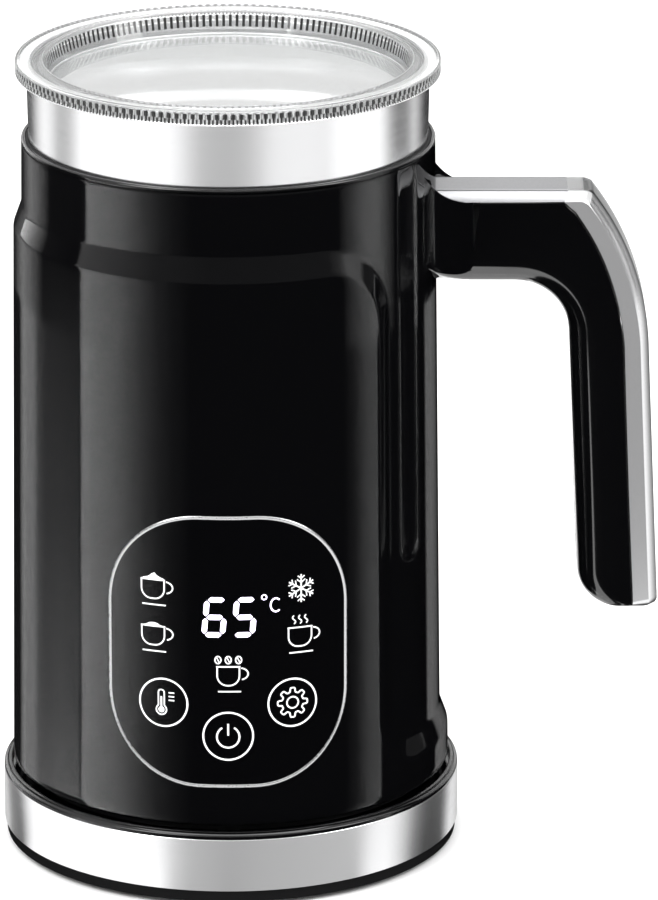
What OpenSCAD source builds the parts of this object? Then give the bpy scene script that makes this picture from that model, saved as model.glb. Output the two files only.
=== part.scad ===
// Cordless milk frother: a jug with a handle on a round power base.
// Millimetres, +Z up. The origin is at the centre of the base, on the surface
// that the rubber feet stand on. The control panel faces -Y, the handle points +X.

/* [Jug] */
// Radius of the jug shell at its foot
jug_r = 56.5; // [50:0.5:68]
// Height of the jug shell
shell_h = 166.4; // [140:0.1:200]
// Radius that the shell loses from foot to rim
jug_taper = 1.95; // [0.5:0.05:3]
// Wall of the shell where it is recessed
shell_w = 1.65; // [1.4:0.05:2.4]
// Depth of the recessed top band and handle pocket
recess_d = 2; // [1:0.1:3]
// Height of the sloping edge around every recess
slope_h = 5.7; // [3:0.1:8]
// Height of the recessed band below the shell's rim, to the middle of its slope
band_h = 20.4; // [16:0.1:28]
// Angle from the handle's plane to the middle of the pocket's side slopes
pocket_a = 40.8; // [38.5:0.1:43]
// Height of the pocket's lower edge above the foot of the shell
pocket_z = 11.5; // [8:0.1:20]
// Radius of the pocket's lower corners
pocket_corner = 11; // [6:0.5:16]
// Radius of the upper corners of the raised front
shield_corner = 17; // [10:0.5:24]
// Angle of each groove beside the handle, from the handle's plane
groove_a = 30.5; // [27:0.5:34]
// Width of each groove
groove_w = 9.4; // [6:0.1:10]
// Depth of each groove
groove_d = 0.8; // [0.4:0.1:0.9]
// Height of the lower end of the grooves above the foot of the shell
groove_z = 61.8; // [40:0.1:90]

/* [Cup and lid] */
// Height of the steel collar above the shell's rim
collar_h = 16.4; // [10:0.1:24]
// Depth of the cup
cup_depth = 91; // [70:1:100]
// Sheet thickness of the cup
cup_w = 0.6; // [0.4:0.1:1]
// Radial width of the soft ring between the shell and the collar
gasket_w = 0.8; // [0.6:0.1:1.2]
// Gap between the recessed inner cup and the shell
cup_gap = 4; // [3:0.1:6]
// How far the lid's rim stands out past the collar
lid_over = 2.9; // [1:0.1:5]
// Height of the lid's rim
lid_rim_h = 3.4; // [2.5:0.1:6]
// Width of the flat ring on top of the lid
lid_ring_w = 7.3; // [5:0.1:12]
// Depth of the dish in the lid
lid_dish = 5.8; // [3:0.1:8]
// Wall of the clear lid
lid_w = 1.5; // [1:0.1:2]

/* [Handle] */
// Height of the arm's top above the foot of the shell
arm_top = 153.2; // [148:0.1:158]
// Height of the arm
arm_h = 23.7; // [18:0.1:26]
// Width of the handle
handle_w = 20; // [16:0.5:26]
// Reach of the grip's inner face beyond the shell's foot radius
grip_gap = 30.2; // [26:0.1:36]
// Depth of the grip from its inner face to its outer face
grip_d = 20.5; // [17:0.1:24]
// Height of the grip's lower end above the foot of the shell
tip_z = 42.1; // [30:0.1:60]
// Radius of the bend in the outer face
bend_r = 70; // [60:1:80]
// Lean of the grip from the vertical
grip_lean = 2.5; // [0:0.1:4]
// Radius of the inner bend
inner_bend_r = 14; // [8:0.5:18]
// Wall of the handle's shells
handle_wall = 3.4; // [2.5:0.1:4]
// Depth of the bright spine's sides
spine_d = 6.6; // [5:0.1:9]
// Thickness of the plate on top of the arm
plate_t = 1.8; // [1.2:0.1:2.4]
// Length of the plate on the arm, from the shell's foot radius
plate_len = 29.5; // [20:0.5:31]

/* [Power base] */
// Width of the ledge around the jug
ledge_w = 2.5; // [2:0.1:5]
// Height of the steel band
band_steel_h = 14.1; // [11:0.1:24]
// Sheet thickness of the steel band
band_steel_w = 0.6; // [0.4:0.1:1]
// Thickness of the floor plate
floor_t = 2.8; // [2.2:0.1:4]
// How far the rubber feet stand proud of the floor plate
foot_proud = 1.2; // [0.8:0.1:3]
// Radius of each rubber foot
foot_r = 6; // [4:0.5:9]
// Radius of the connector's hub
hub_r = 15; // [14:0.5:18]
// Radius of the centre pin
pin_r = 3; // [2:0.1:4]
// Radius of the opening in the cord gland
cord_r = 3.2; // [2.5:0.1:3.6]

/* [Control panel] */
// Half width of the panel
panel_hw = 29.6; // [24:0.1:31]
// Height of the panel's lower edge above the foot of the shell
panel_z = 10.9; // [8:0.1:20]
// Height of the panel
panel_h = 71.5; // [64:0.1:80]
// Radius of the panel's corners
panel_corner = 22.4; // [10:0.1:24]
// Width of the bright line around the panel
trim_w = 1; // [0.6:0.1:2]
// Thickness of the panel sheet
panel_t = 0.6; // [0.4:0.1:0.8]
// Height of the centre of the display above the foot of the shell
display_z = 56; // [48:0.5:62]

/* [Drive and whisk] */
// Radius of the motor
motor_r = 15; // [12:0.5:18]
// Height of the motor
motor_h = 28; // [22:1:32]
// Radius of the motor shaft
shaft_r = 1.5; // [1:0.1:2]
// Radius of the magnet holder on the shaft
holder_r = 17; // [14:0.5:19]
// Radius of the post that carries the whisk
post_r = 2; // [1.5:0.1:3]
// Radius of the whisk's foot
whisk_foot_r = 15; // [12:0.5:18]
// Radius of the whisk's spring ring
coil_r = 17; // [12:0.5:22]
// Radius of the spring's windings
coil_wire_r = 2; // [1.2:0.1:3]

/* [Fits] */
// Running clearance on a radius, for pins and shafts
run_fit = 0.05; // [0.02:0.01:0.09]
// Gap between seats of pieces that lift apart
seat_gap = 0.3; // [0.2:0.1:0.6]
// Radial gap between curved faces that move past each other
move_gap = 0.35; // [0.3:0.05:0.8]
// Radius of the machine screws
screw_r = 1.5; // [1.2:0.1:1.8]
// Radius of the screw heads
head_r = 2.8; // [2.4:0.1:3.2]
// Height of the screw heads
head_h = 1.4; // [1:0.1:1.6]

/* [Hidden] */
$fn = 96;
big = 400;
eps = 0.01;

// ---- power base ----
base_r = jug_r + ledge_w;
floor_z = foot_proud;
band_z0 = floor_z + floor_t;
band_z1 = band_z0 + band_steel_h;
deck_z = band_z1 - 0.3;
cover_r = base_r - band_steel_w;
cover_w = 2;
foot_place_r = base_r - foot_r - 6;
foot_sink = 0.8;
base_screw_r = base_r * 0.62;
base_boss_r = 3.6;
deck_t = 2.2;
gland_z = (band_z0 + deck_z - deck_t) / 2;
gland_r = cord_r + 1.6;
gland_flange = 0.9;

// ---- jug shell ----
z0 = band_z1 + 2.7;
z1 = z0 + shell_h;
function outer_r(z) = jug_r - jug_taper * (z - z0) / shell_h;
function recess_r(z) = outer_r(z) - recess_d;
function inner_r(z) = recess_r(z) - shell_w;
band_mid = z1 - band_h;
pocket_z0 = z0 + pocket_z;
pocket_hw = jug_r * sin(pocket_a);
// Stops just short of the top of the corner's arc, where the cut would thin to nothing
flare_run = 0.95 * shield_corner;

// ---- cup and lid ----
collar_r = inner_r(z1) - gasket_w + 0.65;
gasket_r = collar_r + gasket_w;
gasket_h = 5;
cup_top = z1 + collar_h;
cup_floor = cup_top - cup_depth;
cup_r = inner_r(z1) - cup_gap;
step_z1 = z1 - 6.4;
step_z0 = step_z1 - 5;
collar_flare = 0.3;
lid_z0 = cup_top + seat_gap;
lid_z1 = lid_z0 + lid_rim_h;
lid_r = collar_r + collar_flare + lid_over;
dish_r = lid_r - lid_ring_w;
plug_r = collar_r - cup_w - 0.9;
plug_z0 = lid_z0 - 9;

// ---- drive, stacked down from the cup floor ----
heater_t = 3;
heater_z0 = cup_floor - heater_t;
heater_r = cup_r - 3;
heater_hole = holder_r + 4;
tube_r = 3.5;
tube_place_r = heater_r - tube_r - 6;
magnet_gap = 1.5;
holder_z1 = cup_floor - magnet_gap;
holder_z0 = holder_z1 - 6;
mount_z1 = holder_z0 - 3;
mount_t = 2.5;
mount_z0 = mount_z1 - mount_t;
motor_z1 = mount_z0;
motor_z0 = motor_z1 - motor_h;
can_w = 1;
magnet_r = 4;
magnet_n = 4;
magnet_place_r = holder_r - magnet_r - 1.5;
magnet_t = 3;

// ---- whisk ----
post_h = 20;
whisk_z0 = cup_floor + cup_w + 0.8;
whisk_foot_h = 4;
whisk_hub_r = 5;
whisk_h = 16;
coil_z = whisk_z0 + 10;
whisk_magnet_r = 3;
whisk_magnet_place_r = whisk_foot_r - whisk_magnet_r - 1.5;

// ---- electronics ----
board_t = 1.6;
board_y = -(inner_r(z0 + display_z) - 15);
board_hw = panel_hw - 3;
board_z0 = z0 + 16;
board_z1 = z0 + panel_z + panel_h + 2;
display_h = 14;
display_hw = 14;
display_d = 5;
guide_gap = 0.4;
power_z = z0 + 24;
power_r = inner_r(z0) - 12;
power_front = board_y + board_t + 5;
spring_r = 2.2;
// Places of the touch keys on the panel: angle from the front, height above the foot
KEYS = [[-19.5, 61.5], [-19.5, 49], [20.5, 62.5], [18.5, 49.5], [0, 40], [-16.8, 32.5],
        [16.9, 32.5], [0, 24.5]];

// ---- jug connector ----
hub_z1 = deck_z + 9;
slot_in = [6.4, 10.8];
slot_w = 1.9;
ring_w = 0.5;
bottom_z0 = deck_z + 0.8;
bottom_t = 3;
connector_w = 3;
connector_r = hub_r + move_gap + connector_w;
connector_z1 = hub_z1 + seat_gap + 3;
jug_screw_place_r = inner_r(z0) - 6;

// ---- handle ----
root_x = inner_r(z1);
arm_z = z0 + arm_top;
under_z = arm_z - arm_h;
grip_x = jug_r + grip_gap;
grip_z = under_z - inner_bend_r;
handle_z0 = z0 + tip_z;
seam_x = jug_r + plate_len;
// Radius of the grip's lower inner corner
tip_r = 10.5;
// Centre of the outer bend: the grip's outer face is tangent to it
bend_cx = grip_x + grip_d - bend_r;
bend_cz = arm_z - 43.7;

// Corner where the outer bend, moved in by d, meets the arm's top, moved in by d
function bend_a0(d) = asin((arm_z - d - bend_cz) / (bend_r - d));

// Outer face of the handle, moved in by d, from x = from_x to its tip
function outer_path(d, from_x) = concat(
    [[from_x, arm_z - d]],
    [for (i = [0:12]) let (a = bend_a0(d) + (grip_lean - bend_a0(d)) * i / 12)
        [bend_cx + (bend_r - d) * cos(a), bend_cz + (bend_r - d) * sin(a)]],
    [[bend_cx + (bend_r - d) / cos(grip_lean)
        - (handle_z0 + 2 + d - bend_cz) * tan(grip_lean), handle_z0 + 2 + d]]
);

// Inner face of the handle, moved in by d, from x = from_x to its tip
function inner_path(d, from_x) = concat(
    [[from_x, under_z + d]],
    [for (i = [0:8]) let (a = 90 - (90 - grip_lean) * i / 8)
        [grip_x - inner_bend_r + (inner_bend_r + d) * cos(a),
         grip_z + (inner_bend_r + d) * sin(a)]],
    [for (i = [0:6]) let (a = 180 + grip_lean + (90 - grip_lean) * i / 6)
        [tip_cx + (tip_r - d) * cos(a), tip_cz + (tip_r - d) * sin(a)]],
    [[grip_x + grip_d - 1, handle_z0 + d]]
);
tip_cz = handle_z0 + tip_r;
tip_cx = grip_x + (grip_z - tip_cz) * tan(grip_lean) + tip_r;

function flipped(list) = [for (i = [len(list) - 1:-1:0]) list[i]];
function handle_outline(d) = concat(outer_path(d, root_x), flipped(inner_path(d, root_x)));

// ---- shared shapes ----
module ring(r_out, r_in, za, zb) {
    translate([0, 0, za])
        difference() {
            cylinder(r = r_out, h = zb - za);
            translate([0, 0, -1]) cylinder(r = r_in, h = zb - za + 2);
        }
}

module disc(r, za, zb) {
    translate([0, 0, za]) cylinder(r = r, h = zb - za);
}

// Solid of the shell's outer form, moved in by d
module shell_cone(d, za, zb) {
    translate([0, 0, za])
        cylinder(r1 = outer_r(za) - d, r2 = outer_r(zb) - d, h = zb - za, $fn = 128);
}

// Copies of a child at n even angles on a circle
module around(n, r, turn = 0) {
    for (i = [0:n - 1])
        rotate([0, 0, turn + 360 * i / n]) translate([r, 0, 0]) children();
}

// A shape drawn in the XZ plane, as thick as w, centred on y = 0
module slab(w) {
    rotate([90, 0, 0]) linear_extrude(height = w, center = true) children();
}

// A flat rounded rectangle, from z = 0 upward in its own plane
module rounded(hw, h, r) {
    for (s = [-1, 1], z = [r, h - r])
        translate([s * (hw - r), z]) circle(r = r);
    translate([-hw, r]) square([2 * hw, h - 2 * r]);
    translate([-hw + r, 0]) square([2 * (hw - r), h]);
}

// A machine screw that points up, with its head at the bottom
module screw(length, r = screw_r, hr = head_r, hh = head_h) {
    difference() {
        cylinder(r = hr, h = hh);
        translate([0, 0, -eps]) cylinder(r = r * 0.75, h = hh * 0.6, $fn = 6);
    }
    translate([0, 0, hh - eps]) cylinder(r = r, h = length + eps);
}

// ---- power base ----
module base_foot_plate() {
    color("#151515") difference() {
        union() {
            disc(cover_r, floor_z, band_z0);
            ring(cover_r - cover_w, cover_r - cover_w - 2, band_z0 - eps, band_z0 + 3);
        }
        foot_places() translate([0, 0, floor_z - 1]) cylinder(r = foot_r, h = 1 + foot_sink);
        around(3, base_screw_r, 30) translate([0, 0, floor_z - 1]) {
            cylinder(r = screw_r + 0.2, h = 9);
            cylinder(r = head_r + 0.2, h = 1 + head_h);
        }
        gland_bore(gland_r + gland_flange + 0.3);
    }
}

// Four feet near the edge and one at the centre, under the weight of the jug
module foot_places() {
    around(4, foot_place_r, 45) children();
    children();
}

module base_rubber_feet() {
    color("#202020") foot_places() cylinder(r = foot_r, h = floor_z + foot_sink);
}

module base_steel_band() {
    color("#c9c9c9") difference() {
        ring(base_r, cover_r, band_z0, band_z1);
        gland_bore(gland_r);
    }
}

// Hole for the cord gland, through the back of the base
module gland_bore(r) {
    translate([0, base_r - 8, gland_z]) rotate([-90, 0, 0]) cylinder(r = r, h = 20);
}

// Square slot that lets the cover slide down over the gland
module gland_slot() {
    translate([-gland_r, base_r - 8, band_z0 - 1])
        cube([2 * gland_r, 20, gland_z + gland_r - band_z0 + 1]);
}

module base_top_cover() {
    color("#101010") difference() {
        union() {
            rotate_extrude($fn = 128) polygon([
                [cover_r - cover_w, band_z0],
                [cover_r, band_z0],
                [cover_r, band_z1],
                [base_r, band_z1],
                [base_r - 0.1, band_z1 + 0.5],
                [base_r - 0.9, band_z1 + 1.4],
                [base_r - 1.7, band_z1 + 1.8],
                [base_r - 2.1, band_z1 + 1.8],
                [base_r - 2.3, deck_z],
                [hub_r, deck_z],
                [hub_r, deck_z - deck_t],
                [cover_r - cover_w, deck_z - deck_t]
            ]);
            around(3, base_screw_r, 30)
                disc(base_boss_r, band_z0, deck_z - deck_t + eps);
        }
        around(3, base_screw_r, 30)
            disc(screw_r, band_z0 - 1, band_z0 + 8);
        gland_slot();
    }
}

module base_socket_housing() {
    color("#1c1c1c") difference() {
        union() {
            disc(hub_r, deck_z - 6, hub_z1);
            ring(hub_r + 3, hub_r - 1, deck_z - 6, deck_z - deck_t);
        }
        for (s = slot_in)
            ring(s + slot_w, s, hub_z1 - 8, hub_z1 + 1);
        disc(pin_r + run_fit, deck_z - 4, hub_z1 + 1);
        disc(pin_r + 1.6, deck_z - 7, deck_z - 3.5);
    }
}

module base_contact_rings() {
    color("#c8a24a") for (s = slot_in)
        ring(s + slot_w, s + slot_w - ring_w, hub_z1 - 8, hub_z1 - 1);
}

module base_screws() {
    color("#b8b8b8") around(3, base_screw_r, 30)
        translate([0, 0, floor_z]) screw(band_z0 + 8 - floor_z - head_h);
}

module cord_gland() {
    color("#181818") translate([0, base_r - 6, gland_z]) rotate([-90, 0, 0])
        difference() {
            union() {
                cylinder(r = gland_r, h = 10);
                cylinder(r = gland_r + gland_flange, h = 2.4);
                translate([0, 0, 6.6]) cylinder(r1 = gland_r + gland_flange, r2 = gland_r, h = 3.4);
            }
            translate([0, 0, -1]) cylinder(r = cord_r, h = 12);
        }
}

module cord_clamp() {
    clamp_w = 26;
    color("#d9d2c0") difference() {
        translate([-clamp_w / 2, base_r - 28, band_z0]) cube([clamp_w, 12, 9]);
        for (x = [-8, 0, 8])
            translate([x, base_r - 29, band_z0 + 5])
                rotate([-90, 0, 0]) cylinder(r = 1.6, h = 14);
    }
}

// ---- swivel between base and jug ----
module base_centre_pin() {
    color("#cfcfcf") {
        disc(pin_r, deck_z - 5, hub_z1 + 1.6);
        disc(pin_r + 1.2, deck_z - 5.4, deck_z - 3.9);
    }
}

// ---- jug ----
// Outline of the handle pocket in the YZ plane, open at the top
module pocket_outline() {
    top = z1 - pocket_z0 + 5;
    rounded(pocket_hw, top, pocket_corner);
    for (s = [-1, 1]) difference() {
        translate([s * (pocket_hw + flare_run / 2 - eps), band_mid - pocket_z0 - shield_corner / 2])
            square([flare_run + eps, shield_corner], center = true);
        translate([s * (pocket_hw + shield_corner), band_mid - pocket_z0 - shield_corner])
            circle(r = shield_corner);
    }
}

// Slots that cut the two grooves beside the handle
module groove_slots() {
    for (s = [-1, 1]) rotate([0, 0, s * groove_a])
        translate([0, 0, z0 + groove_z]) rotate([90, 0, 90]) linear_extrude(height = big / 4) {
            translate([0, groove_w / 2]) circle(r = groove_w / 2);
            translate([-groove_w / 2, groove_w / 2]) square([groove_w, z1 - z0 - groove_z]);
        }
}

// Outline of the panel sheet, grown by g, as a bar through the front of the shell
module panel_bar(g) {
    translate([0, 0, z0 + panel_z - g]) rotate([90, 0, 0])
        linear_extrude(height = big / 4)
            rounded(panel_hw + g, panel_h + 2 * g, panel_corner + g);
}

module body_shell() {
    color("#0d0d0d") {
        difference() {
            rotate_extrude($fn = 128) polygon([
                [inner_r(z0), z0],
                [outer_r(z0) - 0.6, z0],
                [outer_r(z0 + 0.6), z0 + 0.6],
                [outer_r(band_mid - slope_h / 2), band_mid - slope_h / 2],
                [recess_r(band_mid + slope_h / 2), band_mid + slope_h / 2],
                [recess_r(z1 - 0.8), z1 - 0.8],
                [recess_r(z1) - 0.5, z1],
                [gasket_r, z1],
                [gasket_r, z1 - gasket_h],
                [inner_r(z1 - gasket_h), z1 - gasket_h]
            ]);
            difference() {
                translate([0, 0, pocket_z0]) rotate([90, 0, 90])
                    linear_extrude(height = big / 4) pocket_outline();
                shell_cone(recess_d, z0 - 1, z1 + 1);
            }
            difference() {
                groove_slots();
                shell_cone(recess_d + groove_d, z0 - 1, z1 + 1);
            }
            difference() {
                panel_bar(trim_w);
                shell_cone(panel_t, z0 - 1, z1 + 1);
            }
            handle_screw_places() disc(screw_r + 0.2, -1, 8);
        }
        around(3, jug_screw_place_r, 30) shell_boss();
    }
}

// A screw boss that stands off the shell's inner wall
module shell_boss() {
    boss_z0 = bottom_z0 + bottom_t;
    wall_x = inner_r(z0) - jug_screw_place_r + 0.8;
    difference() {
        union() {
            disc(3.4, boss_z0, boss_z0 + 12);
            translate([0, -2, boss_z0]) cube([wall_x, 4, 12]);
        }
        disc(screw_r, boss_z0 - 1, boss_z0 + 9);
    }
}

module jug_bottom_cover() {
    cover_z1 = bottom_z0 + bottom_t;
    color("#141414") difference() {
        union() {
            disc(inner_r(cover_z1), bottom_z0, cover_z1);
            around(3, power_r - 6, 90)
                disc(3, cover_z1 - eps, power_z);
        }
        disc(connector_r, bottom_z0 - 1, cover_z1 + 1);
        around(3, jug_screw_place_r, 30) {
            disc(screw_r + 0.2, bottom_z0 - 1, cover_z1 + 1);
            disc(head_r + 0.2, bottom_z0 - 1, bottom_z0 + head_h);
        }
    }
}

module jug_screws() {
    color("#b8b8b8") around(3, jug_screw_place_r, 30)
        translate([0, 0, bottom_z0]) screw(bottom_t + 9 - head_h);
}

module jug_connector() {
    color("#d8d0c0") difference() {
        disc(connector_r, bottom_z0, connector_z1);
        disc(hub_r + move_gap, bottom_z0 - 1, hub_z1 + seat_gap);
        disc(pin_r + run_fit, hub_z1 - 1, hub_z1 + 2);
        for (s = slot_in)
            ring(s + 1, s + 0.5, hub_z1, connector_z1 - 1);
    }
}

module jug_contacts() {
    color("#c8a24a") for (s = slot_in)
        ring(s + 1, s + 0.5, hub_z1 - 6, connector_z1 - 1);
}

module steel_cup() {
    color("#d0d0d0") rotate_extrude($fn = 128) difference() {
        polygon(cup_outline(0));
        polygon(cup_outline(cup_w));
    }
}

// Outline of the cup, moved in by d, closed along its axis
function cup_outline(d) = [
    [0, cup_floor + d],
    [cup_r - 6, cup_floor + d],
    [cup_r - 1.5 - d * 0.7, cup_floor + 1.5 + d * 0.7],
    [cup_r - d, cup_floor + 6],
    [cup_r - d, step_z0],
    [collar_r - d, step_z1],
    [collar_r - d, z1 + 1],
    [collar_r + collar_flare - d, cup_top + d],
    [0, cup_top + d]
];

module cup_rim_gasket() {
    color("#232323") ring(gasket_r, collar_r, z1 - gasket_h, z1 - 0.2);
}

module cup_whisk_pin() {
    pin_top = cup_floor + cup_w + post_h;
    color("#cccccc") {
        disc(post_r, cup_floor + cup_w, pin_top - post_r);
        translate([0, 0, pin_top - post_r]) sphere(r = post_r);
    }
}

module heater_plate() {
    color("#a8a8a8") ring(heater_r, heater_hole, heater_z0, cup_floor);
}

module heater_tube() {
    color("#6d6a66") translate([0, 0, heater_z0]) {
        rotate_extrude() translate([tube_place_r, 0]) intersection() {
            circle(r = tube_r, $fn = 48);
            translate([-big / 2, -big]) square([big, big]);
        }
    }
}

module thermostat() {
    color("#caa15a") translate([-(heater_hole + 5.2) * cos(25), (heater_hole + 5.2) * sin(25), 0]) {
        disc(4, heater_z0 - 5, heater_z0);
    }
}

module temperature_sensor() {
    color("#b0b0b0") translate([(heater_hole + 5.2) * cos(25), (heater_hole + 5.2) * sin(25), 0])
        disc(2.4, heater_z0 - 4, heater_z0);
}

module motor_mount() {
    rim_r = inner_r(mount_z1);
    color("#3a3a3c") difference() {
        union() {
            disc(rim_r, mount_z0, mount_z1);
            around(3, heater_r - 2.5, 90)
                disc(2.4, mount_z1 - eps, heater_z0);
        }
        disc(6, mount_z0 - 1, mount_z1 + 1);
        around(2, motor_r - 5) disc(screw_r + 0.2, mount_z0 - 1, mount_z1 + 1);
        lead_places() disc(1.4, mount_z0 - 1, mount_z1 + 1);
        translate([-board_hw - 1, -big, mount_z0 - 1])
            cube([2 * board_hw + 2, big + board_y + board_t + 1, mount_t + 2]);
    }
}

module motor_mount_screws() {
    color("#b8b8b8") around(2, motor_r - 5)
        translate([0, 0, mount_z1 + 1.2]) rotate([180, 0, 0])
            screw(mount_t + 2, screw_r, 2.6, 1.2);
}

module motor_can() {
    color("#9a9a9a") difference() {
        union() {
            disc(motor_r, motor_z0, motor_z1);
            disc(4, motor_z0 - 2, motor_z0 + eps);
        }
        disc(motor_r - can_w, motor_z0 + 2, motor_z1 - 3.2);
        disc(shaft_r + run_fit, motor_z0 - 3, motor_z1 + 1);
        around(2, motor_r - 5) disc(screw_r, motor_z1 - 2, motor_z1 + 1);
    }
}

module control_board() {
    color("#1f5c34") translate([-board_hw, board_y, board_z0])
        cube([2 * board_hw, board_t, board_z1 - board_z0]);
}

module display_module() {
    color("#2a2a2a") translate([-display_hw, board_y - display_d, z0 + display_z - display_h / 2])
        cube([2 * display_hw, display_d, display_h]);
}

// Diffuser between the display and the shell, with its face curved to the wall
module display_light_guide() {
    color("#e8e8f0") difference() {
        intersection() {
            translate([-display_hw, -big, z0 + display_z - display_h / 2])
                cube([2 * display_hw, big + board_y - display_d, display_h]);
            shell_cone(recess_d + shell_w + guide_gap, z0, z1);
        }
        for (x = [-7.2, 7.2])
            translate([x - 5.4, -big, z0 + display_z - 5])
                cube([10.8, big + board_y - display_d + 1, 10]);
    }
}

module touch_springs() {
    color("#c9b37a") for (k = KEYS) let (
        x = inner_r(z0 + k[1]) * sin(k[0]),
        reach = sqrt(pow(inner_r(z0 + k[1] + spring_r) - 1, 2) - pow(abs(x) + spring_r, 2))
    )
        translate([x, board_y, z0 + k[1]]) rotate([90, 0, 0])
            difference() {
                cylinder(r = spring_r, h = reach + board_y, $fn = 32);
                translate([0, 0, 1]) cylinder(r = spring_r - 0.5, h = reach + board_y, $fn = 32);
            }
}

module control_panel() {
    color("#0a0a0a") intersection() {
        panel_bar(0);
        shell_skin();
    }
}

module panel_trim_ring() {
    color("#d4d4d4") intersection() {
        difference() {
            panel_bar(trim_w);
            panel_bar(0);
        }
        shell_skin();
    }
}

// Outer skin of the shell, as thick as the panel sheet
module shell_skin() {
    difference() {
        shell_cone(0, z0, band_mid);
        shell_cone(panel_t, z0 - 1, band_mid + 1);
    }
}

module power_board() {
    color("#27623a") intersection() {
        disc(power_r, power_z, power_z + board_t);
        translate([-big / 2, power_front, power_z - 1]) cube([big, big, board_t + 2]);
    }
}

module power_board_parts() {
    top = power_z + board_t;
    color("#3b3f46") {
        translate([-24, -8, top]) cube([15, 12, 12]);
        translate([12, -4, top]) cube([13, 18, 10]);
        translate([-6, 12, top]) cylinder(r = 5, h = 13);
        translate([-22, 10, top]) cube([8, 10, 7]);
    }
}

module ribbon_cable() {
    back = board_y + board_t;
    top = power_z + board_t;
    color("#c8c4b8") {
        translate([-9, back, top]) cube([18, 0.6, 16]);
        translate([-9, back, top]) cube([18, power_front - back + 6, 0.6]);
    }
}

// Where the two heater leads run
module lead_places() {
    for (x = [-6, 6]) translate([x, sqrt(pow(tube_place_r, 2) - 36), 0]) children();
}

module heater_leads() {
    color("#a83a2c") lead_places() disc(1, power_z + board_t, heater_z0 - tube_r);
}

// ---- handle ----
// The handle's outer form: full outline in the middle, smaller towards its sides
module handle_form() {
    slab(handle_w - 6.8) polygon(handle_outline(0));
    slab(handle_w - 3.2) polygon(handle_outline(1.1));
    slab(handle_w) polygon(handle_outline(2.2));
}

module handle_cavity() {
    slab(handle_w - 2 * handle_wall + 1.6) polygon(handle_outline(handle_wall));
}

// Zone of the bright spine: the outer face beyond the seam
module spine_zone() {
    slab(big) polygon(concat(
        [[seam_x, arm_z + 5], [grip_x + big, arm_z + 5], [grip_x + big, handle_z0 - 5]],
        [[outer_path(spine_d, seam_x)[14][0], handle_z0 - 5]],
        flipped(outer_path(spine_d, seam_x))
    ));
}

module plate_zone() {
    translate([0, -big / 2, arm_z - plate_t]) cube([seam_x, big, big]);
}

module handle_shell() {
    color("#0e0e0e") difference() {
        handle_form();
        handle_cavity();
        spine_zone();
        plate_zone();
        shell_cone(recess_d, z0, z1);
    }
}

module handle_chrome_spine() {
    color("#dadada") difference() {
        intersection() {
            handle_form();
            spine_zone();
        }
        handle_cavity();
    }
}

module handle_top_plate() {
    color("#c4c4c4") difference() {
        intersection() {
            handle_form();
            plate_zone();
        }
        shell_cone(recess_d, z0, z1);
    }
}

// Frames of the handle screws: each child points along +X from the shell's inner wall
module handle_screw_places() {
    for (z = [under_z + 7, arm_z - 8])
        translate([inner_r(z) - 0.3, 0, z]) rotate([0, 90, 0]) children();
}

module handle_bracket() {
    bracket_w = handle_w - 2 * handle_wall + 1.6;
    color("#8d8f93") difference() {
        translate([root_x - 2, -bracket_w / 2, under_z + handle_wall])
            cube([seam_x - root_x - 10, bracket_w, arm_h - 2 * handle_wall]);
        translate([root_x + 8, -bracket_w / 2 + 2, under_z + handle_wall + 2])
            cube([big, bracket_w - 4, arm_h - 2 * handle_wall - 4]);
        shell_cone(recess_d, z0, z1);
        handle_screw_places() disc(screw_r, -1, 7);
    }
}

module handle_screws() {
    color("#b8b8b8") handle_screw_places()
        translate([0, 0, -head_h]) screw(7);
}

// ---- rotor ----
module motor_shaft() {
    color("#d6d6d6") disc(shaft_r, motor_z0 - 3, holder_z0 + 4);
}

module motor_armature() {
    color("#a4552a") ring(motor_r - can_w - 2.5, shaft_r, motor_z0 + 5, motor_z1 - 6);
}

module magnet_holder() {
    color("#e2ddd0") difference() {
        disc(holder_r, holder_z0, holder_z1);
        disc(shaft_r, holder_z0 - 1, holder_z0 + 4);
        around(magnet_n, magnet_place_r) disc(magnet_r, holder_z1 - magnet_t, holder_z1 + 1);
    }
}

module drive_magnets() {
    color("#8b8b90") around(magnet_n, magnet_place_r)
        disc(magnet_r, holder_z1 - magnet_t, holder_z1);
}

// ---- whisk ----
module whisk_hub() {
    color("#1a1a1a") difference() {
        union() {
            disc(whisk_foot_r, whisk_z0, whisk_z0 + whisk_foot_h);
            disc(whisk_hub_r, whisk_z0, whisk_z0 + whisk_h);
            for (a = [0, 90]) rotate([0, 0, a])
                translate([-coil_r + coil_wire_r * 0.5, -1.2, coil_z - 1.2])
                    cube([2 * coil_r - coil_wire_r, 2.4, 2.4]);
        }
        disc(post_r + run_fit, whisk_z0 - 1, whisk_z0 + whisk_h + 1);
        around(magnet_n, whisk_magnet_place_r)
            disc(whisk_magnet_r, whisk_z0 + 0.8, whisk_z0 + whisk_foot_h + 1);
        coil_ring();
    }
}

// The spring's outer form: a ring as thick as its windings
module coil_ring() {
    translate([0, 0, coil_z]) rotate_extrude() translate([coil_r, 0])
        circle(r = coil_wire_r, $fn = 48);
}

module whisk_coil() {
    color("#cfcfd4") coil_ring();
}

module whisk_magnets() {
    color("#8b8b90") around(magnet_n, whisk_magnet_place_r)
        disc(whisk_magnet_r, whisk_z0 + 0.8, whisk_z0 + whisk_foot_h);
}

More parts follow.
